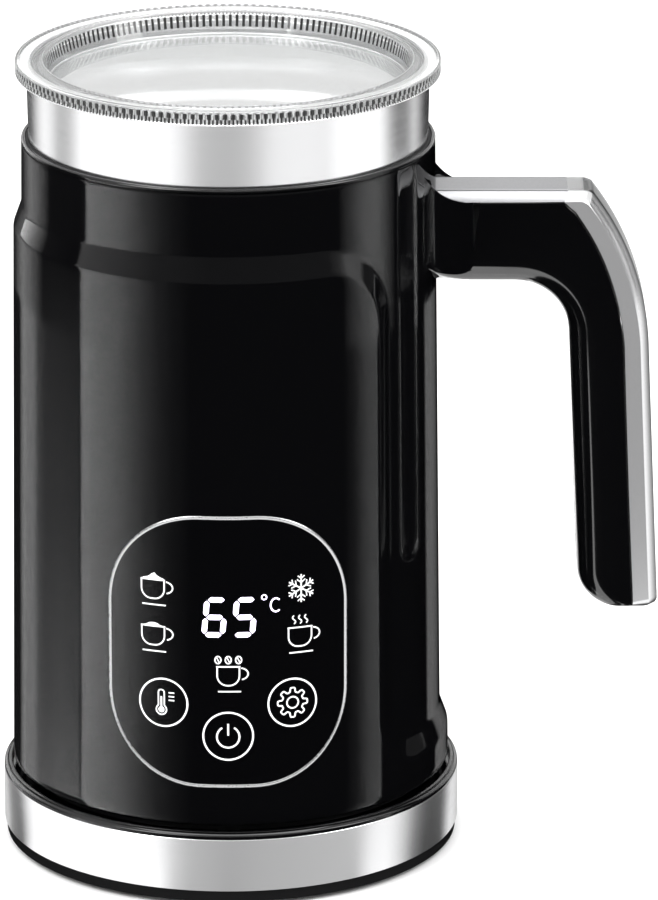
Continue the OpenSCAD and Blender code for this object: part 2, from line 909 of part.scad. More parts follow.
// ---- lid ----
module lid_cover() {
    dish_z = lid_z1 - lid_dish;
    color("#e6eef2") rotate_extrude($fn = 128) polygon([
        [0, dish_z - lid_w],
        [dish_r - 1.3, dish_z - lid_w],
        [plug_r - lid_w, lid_z0 - 1.5],
        [plug_r - lid_w, plug_z0],
        [plug_r, plug_z0],
        [plug_r, lid_z0],
        [lid_r - 0.3, lid_z0],
        [lid_r, lid_z0 + 0.3],
        [lid_r, lid_z1 - 0.4],
        [lid_r - 0.4, lid_z1],
        [dish_r, lid_z1],
        [dish_r - 1.3, dish_z],
        [0, dish_z]
    ]);
}

module lid_seal() {
    color("#e9e9e9") ring(collar_r - cup_w - move_gap, plug_r, plug_z0 + 1, plug_z0 + 4.5);
}

base_foot_plate();
base_steel_band();
base_top_cover();
base_rubber_feet();
base_socket_housing();
base_contact_rings();
base_screws();
cord_gland();
cord_clamp();
base_centre_pin();
body_shell();
jug_bottom_cover();
steel_cup();
cup_rim_gasket();
cup_whisk_pin();
heater_plate();
heater_tube();
thermostat();
temperature_sensor();
motor_can();
motor_mount();
motor_mount_screws();
control_board();
display_module();
display_light_guide();
touch_springs();
control_panel();
panel_trim_ring();
power_board();
power_board_parts();
ribbon_cable();
heater_leads();
jug_connector();
jug_contacts();
jug_screws();
handle_shell();
handle_chrome_spine();
handle_top_plate();
handle_bracket();
handle_screws();
motor_shaft();
motor_armature();
magnet_holder();
drive_magnets();
whisk_hub();
whisk_coil();
whisk_magnets();
lid_cover();
lid_seal();
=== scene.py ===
"""Cordless milk frother: the look of every piece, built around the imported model.

Metres, +Z up. The jug stands on its round power base, with the control panel towards -Y
and the handle towards +X.
"""

import math

import bmesh
import bpy
import numpy as np
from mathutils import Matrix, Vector


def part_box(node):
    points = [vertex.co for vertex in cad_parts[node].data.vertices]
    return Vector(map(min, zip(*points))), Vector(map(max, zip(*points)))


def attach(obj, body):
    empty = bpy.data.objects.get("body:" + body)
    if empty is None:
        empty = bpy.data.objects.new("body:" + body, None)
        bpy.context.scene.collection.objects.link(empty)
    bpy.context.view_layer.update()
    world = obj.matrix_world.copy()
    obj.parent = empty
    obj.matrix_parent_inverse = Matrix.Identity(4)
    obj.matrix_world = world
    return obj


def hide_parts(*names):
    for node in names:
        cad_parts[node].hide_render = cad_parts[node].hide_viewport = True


bl_info = {
    "name": "Milk frother",
    "version": (1, 0, 0),
    "blender": (4, 5, 0),
    "location": "View3D > Sidebar > Frother",
    "description": "Builds the visible pieces of a cordless milk frother",
    "category": "Add Mesh",
}

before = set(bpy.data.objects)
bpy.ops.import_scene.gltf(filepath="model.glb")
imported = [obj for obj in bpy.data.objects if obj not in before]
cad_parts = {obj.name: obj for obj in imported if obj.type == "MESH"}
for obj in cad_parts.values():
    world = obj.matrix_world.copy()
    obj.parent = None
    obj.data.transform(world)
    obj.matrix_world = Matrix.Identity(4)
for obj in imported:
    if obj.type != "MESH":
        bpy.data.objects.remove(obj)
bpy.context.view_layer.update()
MM = 0.001
TAU = 2 * math.pi

SHELL_LOW, SHELL_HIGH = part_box("body_shell")
BAND_LOW, BAND_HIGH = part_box("base_steel_band")
CUP_LOW, CUP_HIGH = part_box("steel_cup")
LID_LOW, LID_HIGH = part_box("lid_cover")
SEAL_LOW, SEAL_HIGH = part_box("lid_seal")
GASKET_LOW, GASKET_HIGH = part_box("cup_rim_gasket")
TRIM_LOW, TRIM_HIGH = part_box("panel_trim_ring")
_, SPINE_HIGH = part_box("handle_chrome_spine")
ARM_LOW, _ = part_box("handle_shell")
_, PLATE_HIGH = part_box("handle_top_plate")
COIL_LOW, COIL_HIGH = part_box("whisk_coil")
_, FEET_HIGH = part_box("base_rubber_feet")
GLAND_LOW, GLAND_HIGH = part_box("cord_gland")

FOOT_R = -SHELL_LOW.x
BASE_R = -BAND_LOW.x
SHELL_Z0, SHELL_Z1 = SHELL_LOW.z, SHELL_HIGH.z
STEEL_SHEET = 0.6 * MM
# Steps round a turned piece: steel and gloss, then soft rings
STEEL_STEPS, RING_STEPS = 256, 192


def setting(kind, label, default, **more):
    """A Blender property with its label doubling as its description."""
    return kind(name=label, description=label, default=default, **more)


def length(label, millimetres):
    """A length, given in millimetres and kept in metres."""
    return setting(bpy.props.FloatProperty, label, millimetres * MM, subtype="DISTANCE",
                   unit="LENGTH", precision=5)


def text(label, default):
    """A word or a hex value."""
    return setting(bpy.props.StringProperty, label, default)


class JugSizes(bpy.types.PropertyGroup):
    """Form of the jug's black shell."""
    taper: length("Radius lost from foot to rim", 1.95)
    recess: length("Depth of the recessed band and pocket", 2.0)
    slope: length("Width of the slope around a recess", 5.7)
    band: length("Height of the recessed band", 20.4)
    pocket_half: length("Half width of the handle pocket, along the surface", 41.4)
    pocket_rise: length("Height of the pocket's lower edge", 11.5)
    pocket_corner: length("Radius of the pocket's lower corners", 12.0)
    shield_corner: length("Radius of the raised front's upper corners", 19.0)
    groove_turn: setting(bpy.props.FloatProperty, "Angle from the handle to a groove",
                         math.radians(30.3), subtype="ANGLE", unit="ROTATION")
    groove_half: length("Half width of a groove", 4.75)
    groove_depth: length("Depth of a groove", 0.7)
    groove_rise: length("Height of a groove's lower end", 61.8)
    wall: length("Wall of the shell", 1.65)


class LidSizes(bpy.types.PropertyGroup):
    """Form of the clear lid."""
    ribs: setting(bpy.props.IntProperty, "Number of ribs round the rim", 168, min=24, max=300)
    rib_depth: length("Depth of the ribs", 0.55)
    ring: length("Width of the flat ring", 7.3)
    dish: length("Depth of the dish", 5.8)
    wall: length("Wall of the lid", 1.5)


class HandleSizes(bpy.types.PropertyGroup):
    """Form of the handle."""
    arm_height: length("Height of the arm", 23.7)
    bend: length("Radius of the outer bend", 70.0)
    bend_drop: length("Drop from the arm's top to the bend's centre", 43.7)
    lean: setting(bpy.props.FloatProperty, "Lean of the grip", math.radians(2.5),
                  subtype="ANGLE", unit="ROTATION")
    depth: length("Depth of the grip", 20.5)
    inner_bend: length("Radius of the inner bend", 14.0)
    tip: length("Radius of the grip's lower inner corner", 10.5)
    spine: length("Depth of the bright spine's sides", 6.6)
    facet: length("Height of the bevelled facets", 2.2)
    flat_half: length("Half width of the flat outer face", 6.4)
    round: length("Rounding of the inner edges", 4.6)


class PanelSizes(bpy.types.PropertyGroup):
    """Control panel and its printed symbols."""
    half: length("Half width of the trim line, along the surface", 31.3)
    corner: length("Radius of the trim line's corners", 24.4)
    line: length("Width of the trim line", 0.95)
    key: length("Radius of a key's ring", 6.3)


class Colours(bpy.types.PropertyGroup):
    """Colours as hex values."""
    shell: text("Gloss black", "#060607")
    satin: text("Satin black", "#161617")
    steel: text("Brushed steel", "#e4e4e5")
    spine: text("Satin chrome", "#d9d9da")
    plate: text("Silver paint", "#a6a6a8")
    glow: text("Display light", "#efe6ff")
    ink: text("Printed ink", "#e9e9ea")


# ---- materials ----

def linear(hexa):
    """sRGB hex value to linear RGBA: the sRGB curve taken back, channel by channel."""
    srgb = [int(hexa[i:i + 2], 16) / 255 for i in (1, 3, 5)]
    return tuple(c / 12.92 if c <= 0.04045 else ((c + 0.055) / 1.055) ** 2.4 for c in srgb) + (1.0,)


def add(tree, kind, feeds=None, **settings):
    """Adds a node, sets its properties or inputs by name, and feeds its inputs from numbers,
    from other nodes' first outputs, or from given outputs."""
    made = tree.nodes.new(kind)
    for key, value in settings.items():
        if hasattr(made, key):
            setattr(made, key, value)
        else:
            made.inputs[key.replace("_", " ")].default_value = value
    for key, source in (feeds or {}).items():
        if isinstance(source, bpy.types.Node):
            source = source.outputs[0]
        if isinstance(source, bpy.types.NodeSocket):
            tree.links.new(source, made.inputs[key])
        else:
            made.inputs[key].default_value = source
    return made


def new_material(name, **shader):
    """A Principled material with constants on its own sockets; returns material, tree, shader."""
    made = bpy.data.materials.new(name)
    made.use_nodes = True
    tree = made.node_tree
    principled = tree.nodes["Principled BSDF"]
    for key, value in shader.items():
        principled.inputs[key.replace("_", " ")].default_value = value
    return made, tree, principled


def scaled_place(tree, scale=(1, 1, 1)):
    """Object coordinates, scaled along X, Y and Z."""
    place = add(tree, "ShaderNodeTexCoord")
    return add(tree, "ShaderNodeMapping", {"Vector": place.outputs["Object"]}, Scale=scale)


def every(millimetres):
    """Scale of a pattern whose features are this far apart."""
    return 1 / (millimetres * MM)


def feel(tree, shader, pattern, rough, bump=0.0, depth=0.0, relief=None):
    """How a surface feels: a pattern moves its roughness between two values, and the same
    pattern or another one raises a bump of the given strength and depth."""
    ranged = add(tree, "ShaderNodeMapRange", {"Value": pattern, "To Min": rough[0],
                                              "To Max": rough[1]})
    tree.links.new(ranged.outputs[0], shader.inputs["Roughness"])
    if bump:
        raised = add(tree, "ShaderNodeBump", {"Height": relief or pattern}, Strength=bump,
                     Distance=depth)
        tree.links.new(raised.outputs[0], shader.inputs["Normal"])


def polished_abs(name, hexa, rough):
    """High gloss moulded ABS: a mirror-like black whose reflections waver a little, because
    the mould's polish leaves a faint orange peel about 3 mm across."""
    made, tree, shader = new_material(name, Base_Color=linear(hexa), IOR=1.5)
    place = scaled_place(tree)
    peel = add(tree, "ShaderNodeTexNoise", {"Vector": place}, Scale=every(3), Detail=1.0)
    haze = add(tree, "ShaderNodeTexNoise", {"Vector": place}, Scale=every(22), Detail=3.0)
    feel(tree, shader, haze, (rough * 0.8, rough * 1.2), 0.02, 0.0002, peel)
    return made


def moulded_plastic(name, hexa, rough=0.45, grain=0.5, depth=0.25):
    """Moulded plastic or rubber with a spark-eroded grain of about half a millimetre, which
    breaks its highlights into a soft sheen."""
    made, tree, shader = new_material(name, Base_Color=linear(hexa), IOR=1.47)
    grit = add(tree, "ShaderNodeTexNoise", {"Vector": scaled_place(tree)},
               Scale=every(grain), Detail=3.0)
    feel(tree, shader, grit, (rough - 0.08, rough + 0.08), depth, 0.00005)
    return made


def brushed_round(name, hexa, rough=0.2):
    """Stainless steel brushed on a lathe: fine lines run round the axis, about 0.3 mm apart,
    drawn a little coarser than real so that they show. They smear highlights up and down."""
    made, tree, shader = new_material(name, Base_Color=linear(hexa), Metallic=1.0,
                                      Anisotropic=0.6)
    place = scaled_place(tree, (every(40), every(40), every(0.3125)))
    lines = add(tree, "ShaderNodeTexNoise", {"Vector": place}, Scale=1.0, Detail=4.0)
    tangent = add(tree, "ShaderNodeTangent", direction_type="RADIAL", axis="Z")
    tree.links.new(tangent.outputs[0], shader.inputs["Tangent"])
    feel(tree, shader, lines, (rough - 0.06, rough + 0.06), 0.12, 0.00004)
    return made


def plain_metal(name, hexa, rough=0.3, grain=0.8):
    """Plated, cast or drawn metal: even, with its polish clouded over about a millimetre."""
    made, tree, shader = new_material(name, Base_Color=linear(hexa), Metallic=1.0)
    cloud = add(tree, "ShaderNodeTexNoise", {"Vector": scaled_place(tree)},
                Scale=every(grain), Detail=2.0)
    feel(tree, shader, cloud, (rough - 0.05, rough + 0.05), 0.05, 0.00003)
    return made


def satin_chrome(name, hexa):
    """Satin chrome plating over moulded ABS: bright, with reflections softly blurred by a fine
    clouding about 1.1 mm across."""
    made, tree, shader = new_material(name, Base_Color=linear(hexa), Metallic=1.0)
    fine = add(tree, "ShaderNodeTexNoise", {"Vector": scaled_place(tree)}, Scale=every(1.1),
               Detail=2.0)
    feel(tree, shader, fine, (0.16, 0.22))
    return made


def silver_paint(name, hexa):
    """Satin metallic paint: aluminium flake under lacquer, an even grey with a fine sparkle. The
    flakes are drawn 0.4 mm across, coarser than real, so that they show."""
    made, tree, shader = new_material(name, Base_Color=linear(hexa), Metallic=0.75,
                                      Coat_Weight=0.3, Coat_Roughness=0.25)
    flake = add(tree, "ShaderNodeTexVoronoi", {"Vector": scaled_place(tree)}, Scale=every(0.4))
    feel(tree, shader, flake, (0.34, 0.48))
    return made


def clear_styrene(name):
    """Clear moulded styrene with a faint haze in it and on its skin. Shade is painted into it
    between the rim's ribs, twice as finely along its lower half, in the short ribs on the dish's
    wall and at the dish's edge: there the material is made dark grey and less clear. The mask is
    the cosine of the angle round the axis times the number of ribs, kept to those walls by
    radius and height."""
    made, tree, shader = new_material(name, IOR=1.5)
    ribs = bpy.context.scene.frother_lid.ribs
    haze = add(tree, "ShaderNodeTexNoise", {"Vector": scaled_place(tree)}, Scale=every(17),
               Detail=2.0)
    feel(tree, shader, haze, (0.02, 0.06))
    place = add(tree, "ShaderNodeTexCoord").outputs["Object"]
    split = add(tree, "ShaderNodeSeparateXYZ", {0: place})
    turn = add(tree, "ShaderNodeMath", {0: split.outputs["Y"], 1: split.outputs["X"]},
               operation="ARCTAN2")
    flat = add(tree, "ShaderNodeVectorMath", {0: place, 1: (1, 1, 0)}, operation="MULTIPLY")
    radius = add(tree, "ShaderNodeVectorMath", {0: flat}, operation="LENGTH").outputs["Value"]
    rim, top = LID_HIGH.x, LID_HIGH.z
    dish = rim - bpy.context.scene.frother_lid.ring
    painted_rib_shade = 0.0
    # Strength of the painted shade, waves in a rib, the level above which they count, then the
    # middle and half width of the band in radius and in height
    for share, waves, level, r, half_r, z, half_z in (
            (1.0, 1, -0.1, rim, 0.0009, top - 0.0011, 0.0007),
            (1.0, 2, 0.0, rim, 0.0009, top - 0.00245, 0.00065),
            (1.0, 1, 0.25, dish - 0.00095, 0.00125, top - 0.0025, 0.0015),
            (0.6, 1, -2.0, dish - 0.000175, 0.000275, top, 0.0006)):
        angle = add(tree, "ShaderNodeMath", {0: turn, 1: ribs * waves}, operation="MULTIPLY")
        wave = add(tree, "ShaderNodeMath", {0: angle}, operation="COSINE")
        valley = add(tree, "ShaderNodeMath", {0: wave, 1: level}, operation="GREATER_THAN")
        ring = add(tree, "ShaderNodeMath", {0: radius, 1: r, 2: half_r}, operation="COMPARE")
        layer = add(tree, "ShaderNodeMath", {0: split.outputs["Z"], 1: z, 2: half_z},
                    operation="COMPARE")
        band = add(tree, "ShaderNodeMath", {0: ring, 1: layer}, operation="MULTIPLY")
        painted_shade_strength = add(tree, "ShaderNodeMath", {0: valley, 1: share}, operation="MULTIPLY")
        painted_rib_shade = add(tree, "ShaderNodeMath", {0: painted_shade_strength, 1: band, 2: painted_rib_shade},
                   operation="MULTIPLY_ADD")
    # Painted shade: where the mask is set, the lid lets less light through and its colour turns dark
    # grey
    clear = add(tree, "ShaderNodeMath", {0: painted_rib_shade, 1: -0.8, 2: 0.84}, operation="MULTIPLY_ADD")
    tree.links.new(clear.outputs[0], shader.inputs["Transmission Weight"])
    tone = add(tree, "ShaderNodeMix", {0: painted_rib_shade, 6: linear("#fbfcfc"), 7: linear("#303030")},
               data_type="RGBA")
    tree.links.new(tone.outputs[2], shader.inputs["Base Color"])
    return made


def glowing(name, hexa, strength):
    """Light behind a printed window: LED light spread by a diffuser."""
    made, tree, shader = new_material(name, Base_Color=linear(hexa), Emission_Color=linear(hexa),
                                      Emission_Strength=strength)
    mottle = add(tree, "ShaderNodeTexNoise", {"Vector": scaled_place(tree)}, Scale=every(1.4),
                 Detail=1.0)
    feel(tree, shader, mottle, (0.35, 0.45))
    return made


def circuit_board(name):
    """Glass-fibre board under green solder mask, with the faint bricks of its weave, drawn
    3.3 mm across so that they show."""
    made, tree, shader = new_material(name, IOR=1.5)
    weave = add(tree, "ShaderNodeTexBrick", {"Vector": scaled_place(tree)},
                Scale=every(3.3), Color1=linear("#1d5a34"), Color2=linear("#205f38"),
                Mortar=linear("#174a2b"))
    tree.links.new(weave.outputs["Color"], shader.inputs["Base Color"])
    feel(tree, shader, weave.outputs["Fac"], (0.25, 0.4))
    return made


MATERIALS = {}


def finishes(tone):
    """Every finish: the function that makes it, its colour and its values."""
    return {
        # Mirror blacks: deep, with crisp reflections; the handle's and the sheet's are softer
        "polished_black_abs": (polished_abs, tone.shell, 0.05),
        "gloss_black_handle": (polished_abs, tone.shell, 0.08),
        "smoked_panel_sheet": (polished_abs, "#050506", 0.08),
        # Moulded from plain plastic: an even colour with a soft sheen
        "satin_black_abs": (moulded_plastic, tone.satin, 0.42),
        "dark_technical_plastic": (moulded_plastic, "#303032", 0.5),
        "natural_technical_plastic": (moulded_plastic, "#d9d2c0", 0.5),
        "component_plastic": (moulded_plastic, "#24262a", 0.5),
        "red_wire_sleeve": (moulded_plastic, "#a3271b", 0.5),
        "white_diffuser": (moulded_plastic, "#eeeef3", 0.5),
        # Moulded from rubber: dull, with a coarser skin
        "black_silicone": (moulded_plastic, "#1b1b1c", 0.6, 0.8),
        "clear_silicone": (moulded_plastic, "#dfe3e4", 0.5, 1.0),
        "foot_rubber": (moulded_plastic, "#1d1d1d", 0.7, 0.7, 0.4),
        # Bright metals: the brushed one streaks its highlights, the others blur them
        "brushed_stainless": (brushed_round, tone.steel),
        "drawn_stainless": (plain_metal, "#cfcfd1", 0.22),
        "satin_chrome": (satin_chrome, tone.spine),
        "bright_trim_foil": (plain_metal, "#d9d9da", 0.28),
        "silver_paint": (silver_paint, tone.plate),
        "nickel_magnet": (plain_metal, "#9a9a9e", 0.2),
        # Working metals: greyer or warmer, with wide, weak highlights
        "zinc_plate": (plain_metal, "#b9bbbd", 0.33),
        "contact_brass": (plain_metal, "#c9a14a", 0.25),
        "cast_aluminium": (plain_metal, "#a9abad", 0.5, 0.5),
        "dull_heater_steel": (plain_metal, "#6f6a64", 0.5),
        "enamelled_copper": (plain_metal, "#a6562c", 0.35, 0.4),
        "solder_mask_board": (circuit_board,),
        "clear_styrene": (clear_styrene,),
        # Lit from behind: the display is brighter than the printed ink
        "display_light": (glowing, tone.glow, 2.6),
        "backlit_ink": (glowing, tone.ink, 0.55),
    }


def material(name):
    """Makes each material once, when a piece first asks for it."""
    if name not in MATERIALS:
        make, *values = finishes(bpy.context.scene.frother_colours)[name]
        MATERIALS[name] = make(name, *values)
    return MATERIALS[name]


# ---- meshes ----

SAME_POINT = 1e-7
CREASE = math.radians(35)


def finish_piece(name, vertices, faces, finish, body, stands_for=(), weld=False):
    """Puts arrays of points and faces into a smooth mesh, and fixes it to a body. Welding joins
    the points that meet at seams and poles, and turns every face outwards."""
    mesh = bpy.data.meshes.new(name)
    mesh.from_pydata(np.asarray(vertices).reshape(-1, 3).tolist(), [], faces)
    if weld:
        work = bmesh.new()
        work.from_mesh(mesh)
        bmesh.ops.remove_doubles(work, verts=work.verts, dist=SAME_POINT)
        bmesh.ops.recalc_face_normals(work, faces=work.faces)
        work.to_mesh(mesh)
        work.free()
    mesh.polygons.foreach_set("use_smooth", [True] * len(mesh.polygons))
    mesh.set_sharp_from_angle(angle=CREASE)
    mesh.materials.append(material(finish))
    made = bpy.data.objects.new(name, mesh)
    bpy.context.scene.collection.objects.link(made)
    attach(made, body)
    for cad in stands_for:
        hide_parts(cad)


def grid_faces(rows, columns, wrap_rows=False, wrap_columns=False, start=0):
    """Quads of a grid of rows x columns points, closed round either way if asked."""
    r = np.arange(rows if wrap_rows else rows - 1)
    c = np.arange(columns if wrap_columns else columns - 1)
    a, b = np.meshgrid(r, c, indexing="ij")
    a2, b2 = (a + 1) % rows, (b + 1) % columns
    quads = np.stack([a * columns + b, a2 * columns + b, a2 * columns + b2, a * columns + b2], -1)
    return (quads.reshape(-1, 4) + start).tolist()


def turned(profile, steps, wave=None):
    """A profile of (radius, height) turned round Z: x = r cos a, y = r sin a.
    wave(angles, row) may return a change of radius for each row."""
    profile = np.asarray(profile, float)
    turn = np.linspace(0, TAU, steps, endpoint=False)
    radius = np.repeat(profile[None, :, 0], steps, 0)
    if wave is not None:
        radius = radius + wave(turn[:, None], profile[None, :, :])
    height = np.repeat(profile[None, :, 1], steps, 0)
    return np.stack([radius * np.cos(turn)[:, None], radius * np.sin(turn)[:, None], height], -1)


def rounded(corners, radii, steps=5):
    """A closed outline of corners, each rounded by an arc tangent to both of its sides."""
    points = np.asarray(corners, float)
    out = []
    for i, radius in enumerate(radii):
        here, before, after = points[i], points[i - 1], points[(i + 1) % len(points)]
        if radius <= 0:
            out.append(here)
            continue
        u, v = before - here, after - here
        u, v = u / np.linalg.norm(u), v / np.linalg.norm(v)
        half = math.acos(max(-1.0, min(1.0, float(u @ v)))) / 2
        centre = here + (u + v) / np.linalg.norm(u + v) * radius / math.sin(half)
        first = here + u * radius / math.tan(half) - centre
        last = here + v * radius / math.tan(half) - centre
        angle = math.pi - 2 * half
        for k in range(steps + 1):
            t = k / steps
            out.append(centre + (math.sin((1 - t) * angle) * first + math.sin(t * angle) * last)
                       / math.sin(angle))
    return np.array(out)


def turned_solid(name, corners, radii, steps, finish, body, stands_for=(), wave=None,
                 round_steps=5):
    """A closed outline of (radius, height) turned into a solid ring or disc."""
    outline = rounded(corners, radii, round_steps)
    points = turned(outline, steps, wave)
    on_axis = np.isclose(outline[:, 0], 0)
    faces = grid_faces(steps, len(outline), True, True)
    if on_axis.any():
        columns = len(outline)
        faces = [f for f in faces if not all(on_axis[i % columns] for i in f)]
    finish_piece(name, points, faces, finish, body, stands_for, weld=True)


# ---- the jug's shell ----

def outer_radius(z):
    """Straight draft: the radius falls evenly from the foot to the rim."""
    sizes = bpy.context.scene.frother_jug
    return FOOT_R - sizes.taper * (z - SHELL_Z0) / (SHELL_Z1 - SHELL_Z0)


def corner_distance(a, b, radius):
    """Distance inside a corner where a and b, the distances inside its two sides, meet in an
    arc: radius - (length of the overshoots past the arc's centre lines + the larger if both
    are negative)."""
    p, q = radius - a, radius - b
    outside = np.hypot(np.maximum(p, 0), np.maximum(q, 0))
    return radius - outside - np.minimum(np.maximum(p, q), 0)


def soft_ramp(t, soft=0.07):
    """A 0-1 ramp with slightly rounded ends: the mean of a clipped ramp moved by +-soft."""
    return (np.clip(t - soft, 0, 1) + np.clip(t, 0, 1) + np.clip(t + soft, 0, 1)) / 3


def shell_depth(turn, z):
    """Depth of the shell's recesses at an angle from the handle and a height.
    A slope follows the rounded edge of the raised front; a groove is a circular hollow."""
    sizes = bpy.context.scene.frother_jug
    along = np.abs(turn) * (FOOT_R - 0.0015)
    above = SHELL_Z1 - sizes.band - z
    pocket = corner_distance(sizes.pocket_half - along, z - SHELL_Z0 - sizes.pocket_rise,
                             sizes.pocket_corner)
    raised = corner_distance(above, -pocket, sizes.shield_corner)
    recess = sizes.recess * soft_ramp(0.5 - raised / sizes.slope)
    low_end = SHELL_Z0 + sizes.groove_rise + sizes.groove_half
    across = np.abs(turn) * FOOT_R * 0.94 - sizes.groove_turn * FOOT_R * 0.94
    past = np.maximum(low_end - z, 0)
    reach = np.clip(np.hypot(across, past) / sizes.groove_half, 0, 1)
    groove = sizes.groove_depth * np.sqrt(1 - reach ** 2) * soft_ramp((1 - reach) * 6, 0.3)
    return recess + groove


def shell_point(front, z, lift=0.0):
    """A point on the shell at an angle from the front, positive towards the handle."""
    radius = outer_radius(z) + lift
    return np.stack([radius * np.sin(front), -radius * np.cos(front), z + 0 * front], -1)


def spread(*zones):
    """One rising row of values from zones of (low, high, step)."""
    rows = [np.linspace(a, b, max(2, int(round((b - a) / s)) + 1)) for a, b, s in zones]
    return np.unique(np.round(np.concatenate(rows), 7))


class FROTHER_OT_shell(bpy.types.Operator):
    """Builds the drafted black shell with its recesses, grooves and rolled rim"""
    bl_idname = "frother.shell"
    bl_label = "Jug shell"

    def execute(self, context):
        sizes = context.scene.frother_jug
        # Angles from the handle: fine steps over the grooves and slopes, wide ones elsewhere
        near, far, fine, wide = np.radians([20, 65, 0.42, 1.5])
        side = spread((near, far, fine))
        turn = np.concatenate([-side[::-1], spread((-near, near, wide))[1:-1], side,
                               spread((far, TAU - far, math.radians(1.8)))[1:-1]])
        z0, z1 = SHELL_Z0, SHELL_Z1
        z = spread((z0 + 0.0008, z0 + 0.004, 0.002), (z0 + 0.004, z0 + 0.028, 0.0005),
                   (z0 + 0.028, z0 + 0.058, 0.003), (z0 + 0.058, z0 + 0.072, 0.0007),
                   (z0 + 0.072, z0 + 0.122, 0.003), (z0 + 0.122, z0 + 0.152, 0.0005),
                   (z0 + 0.152, z1 - 0.012, 0.0015), (z1 - 0.012, z1 - 0.0016, 0.0006))
        wrapped = (turn + math.pi) % TAU - math.pi
        radius = outer_radius(z)[None, :] - shell_depth(wrapped[:, None], z[None, :])
        rim = outer_radius(z1) - sizes.recess
        inner = rim - sizes.wall
        lip = [(rim - 0.00005, z1 - 0.0013), (rim - 0.0004, z1 - 0.0012),
               (rim - 0.0004, z1 - 0.001),
               (rim, z1 - 0.0009), (rim + 0.00003, z1 - 0.0006), (rim - 0.0001, z1 - 0.0003),
               (rim - 0.0004, z1 - 0.00005), (rim - 0.0007, z1), (GASKET_HIGH.x, z1 - 0.0001),
               (GASKET_HIGH.x, z1 - 0.005), (inner, z1 - 0.0052),
               (FOOT_R - sizes.recess - sizes.wall, z0), (FOOT_R - 0.0007, z0),
               (FOOT_R - 0.00055, z0 + 0.0001), (FOOT_R - 0.0001, z0 + 0.0006)]
        extra = np.array(lip)
        radius = np.concatenate([radius, np.repeat(extra[None, :, 0], len(turn), 0)], 1)
        height = np.concatenate([z, extra[:, 1]])
        points = np.stack([radius * np.cos(turn)[:, None], radius * np.sin(turn)[:, None],
                           np.repeat(height[None, :], len(turn), 0)], -1)
        faces = grid_faces(len(turn), len(height), True, True)
        finish_piece("jug_shell_skin", points, faces, "polished_black_abs", "jug",
                     ["body_shell"], weld=True)
        return {"FINISHED"}


# ---- control panel ----

def panel_outline(half, low, high, corner, count):
    """Rounded rectangle in (distance along the surface, height), as count points at even
    steps along its edge, from the middle of its foot."""
    mid = (low + high) / 2
    tall = (high - low) / 2
    straight_w, straight_h = half - corner, tall - corner
    arc = corner * math.pi / 2
    total = 4 * (straight_w + straight_h + arc)
    s = np.linspace(0, total, count, endpoint=False)
    quarter = straight_w + straight_h + arc
    k = np.minimum((s // quarter).astype(int), 3)
    t = s - k * quarter
    t = np.where(k % 2 == 1, quarter - t, t)
    turn = np.clip((t - straight_w) / corner, 0, math.pi / 2)
    x = np.minimum(t, straight_w) + corner * np.sin(turn)
    y = -tall + corner * (1 - np.cos(turn)) + np.maximum(t - straight_w - arc, 0)
    side = np.where(k < 2, 1, -1)
    upper = np.where((k == 1) | (k == 2), -1, 1)
    return np.stack([x * side, mid + y * upper], -1)


def on_panel(flat, lift):
    """Wraps flat panel points (across, height) onto the drafted shell, lifted off it."""
    flat = np.asarray(flat, float)
    front = flat[..., 0] / outer_radius(flat[..., 1])
    return shell_point(front, flat[..., 1], lift)


def stroke(path, width, closed=False):
    """A flat band along a path: each point moved half the width to both sides of the path's
    direction. Returns (points, 2, 2)."""
    path = np.asarray(path, float)
    if closed:
        ahead = np.roll(path, -1, 0) - np.roll(path, 1, 0)
    else:
        ahead = np.gradient(path, axis=0)
    ahead = ahead / np.maximum(np.linalg.norm(ahead, axis=1), 1e-9)[:, None]
    side = np.stack([-ahead[:, 1], ahead[:, 0]], -1) * width / 2
    return np.stack([path + side, path - side], 1)


def arc(cx, cy, rx, a0, a1, count=16, ry=None):
    """Points on an ellipse from angle a0 to a1, in degrees."""
    a = np.radians(np.linspace(a0, a1, count))
    return np.stack([cx + rx * np.cos(a), cy + (ry or rx) * np.sin(a)], -1)


def line(*points):
    """A polyline with a point about every 0.5 mm, so that it bends with the surface."""
    points = np.asarray(points, float)
    parts = [points[:1]]
    for a, b in zip(points[:-1], points[1:]):
        n = max(1, int(math.ceil(np.linalg.norm(b - a) / 0.5)))
        parts.append(a + (b - a) * (np.arange(1, n + 1) / n)[:, None])
    return np.concatenate(parts)


class Print:
    """Collects the strokes and filled shapes of one printed symbol, in millimetres about its
    centre, and lays them on the panel."""

    def __init__(self, across, height):
        self.place = np.array([across, height])
        self.points, self.faces, self.count = [], [], 0

    def grid(self, cells, wrap=False):
        """Adds a grid of points, closed round its rows if asked."""
        rows, columns = cells.shape[:2]
        flat = cells.reshape(-1, 2) * MM + self.place
        self.faces += grid_faces(rows, columns, wrap, False, self.count)
        self.points.append(flat)
        self.count += len(flat)

    def pen(self, path, width=0.38, closed=False):
        """Draws a line of even width."""
        self.grid(stroke(path, width, closed), closed)

    def between(self, one, other):
        """Fills the band between two paths of equal length."""
        self.grid(np.stack([one, other], 1))

    def lay(self, name, finish="backlit_ink", slot="light_guide", lift=0.00006):
        """Makes one piece of everything drawn so far, a hair above the sheet."""
        finish_piece(name, on_panel(np.concatenate(self.points), lift), self.faces, finish,
                     "jug")


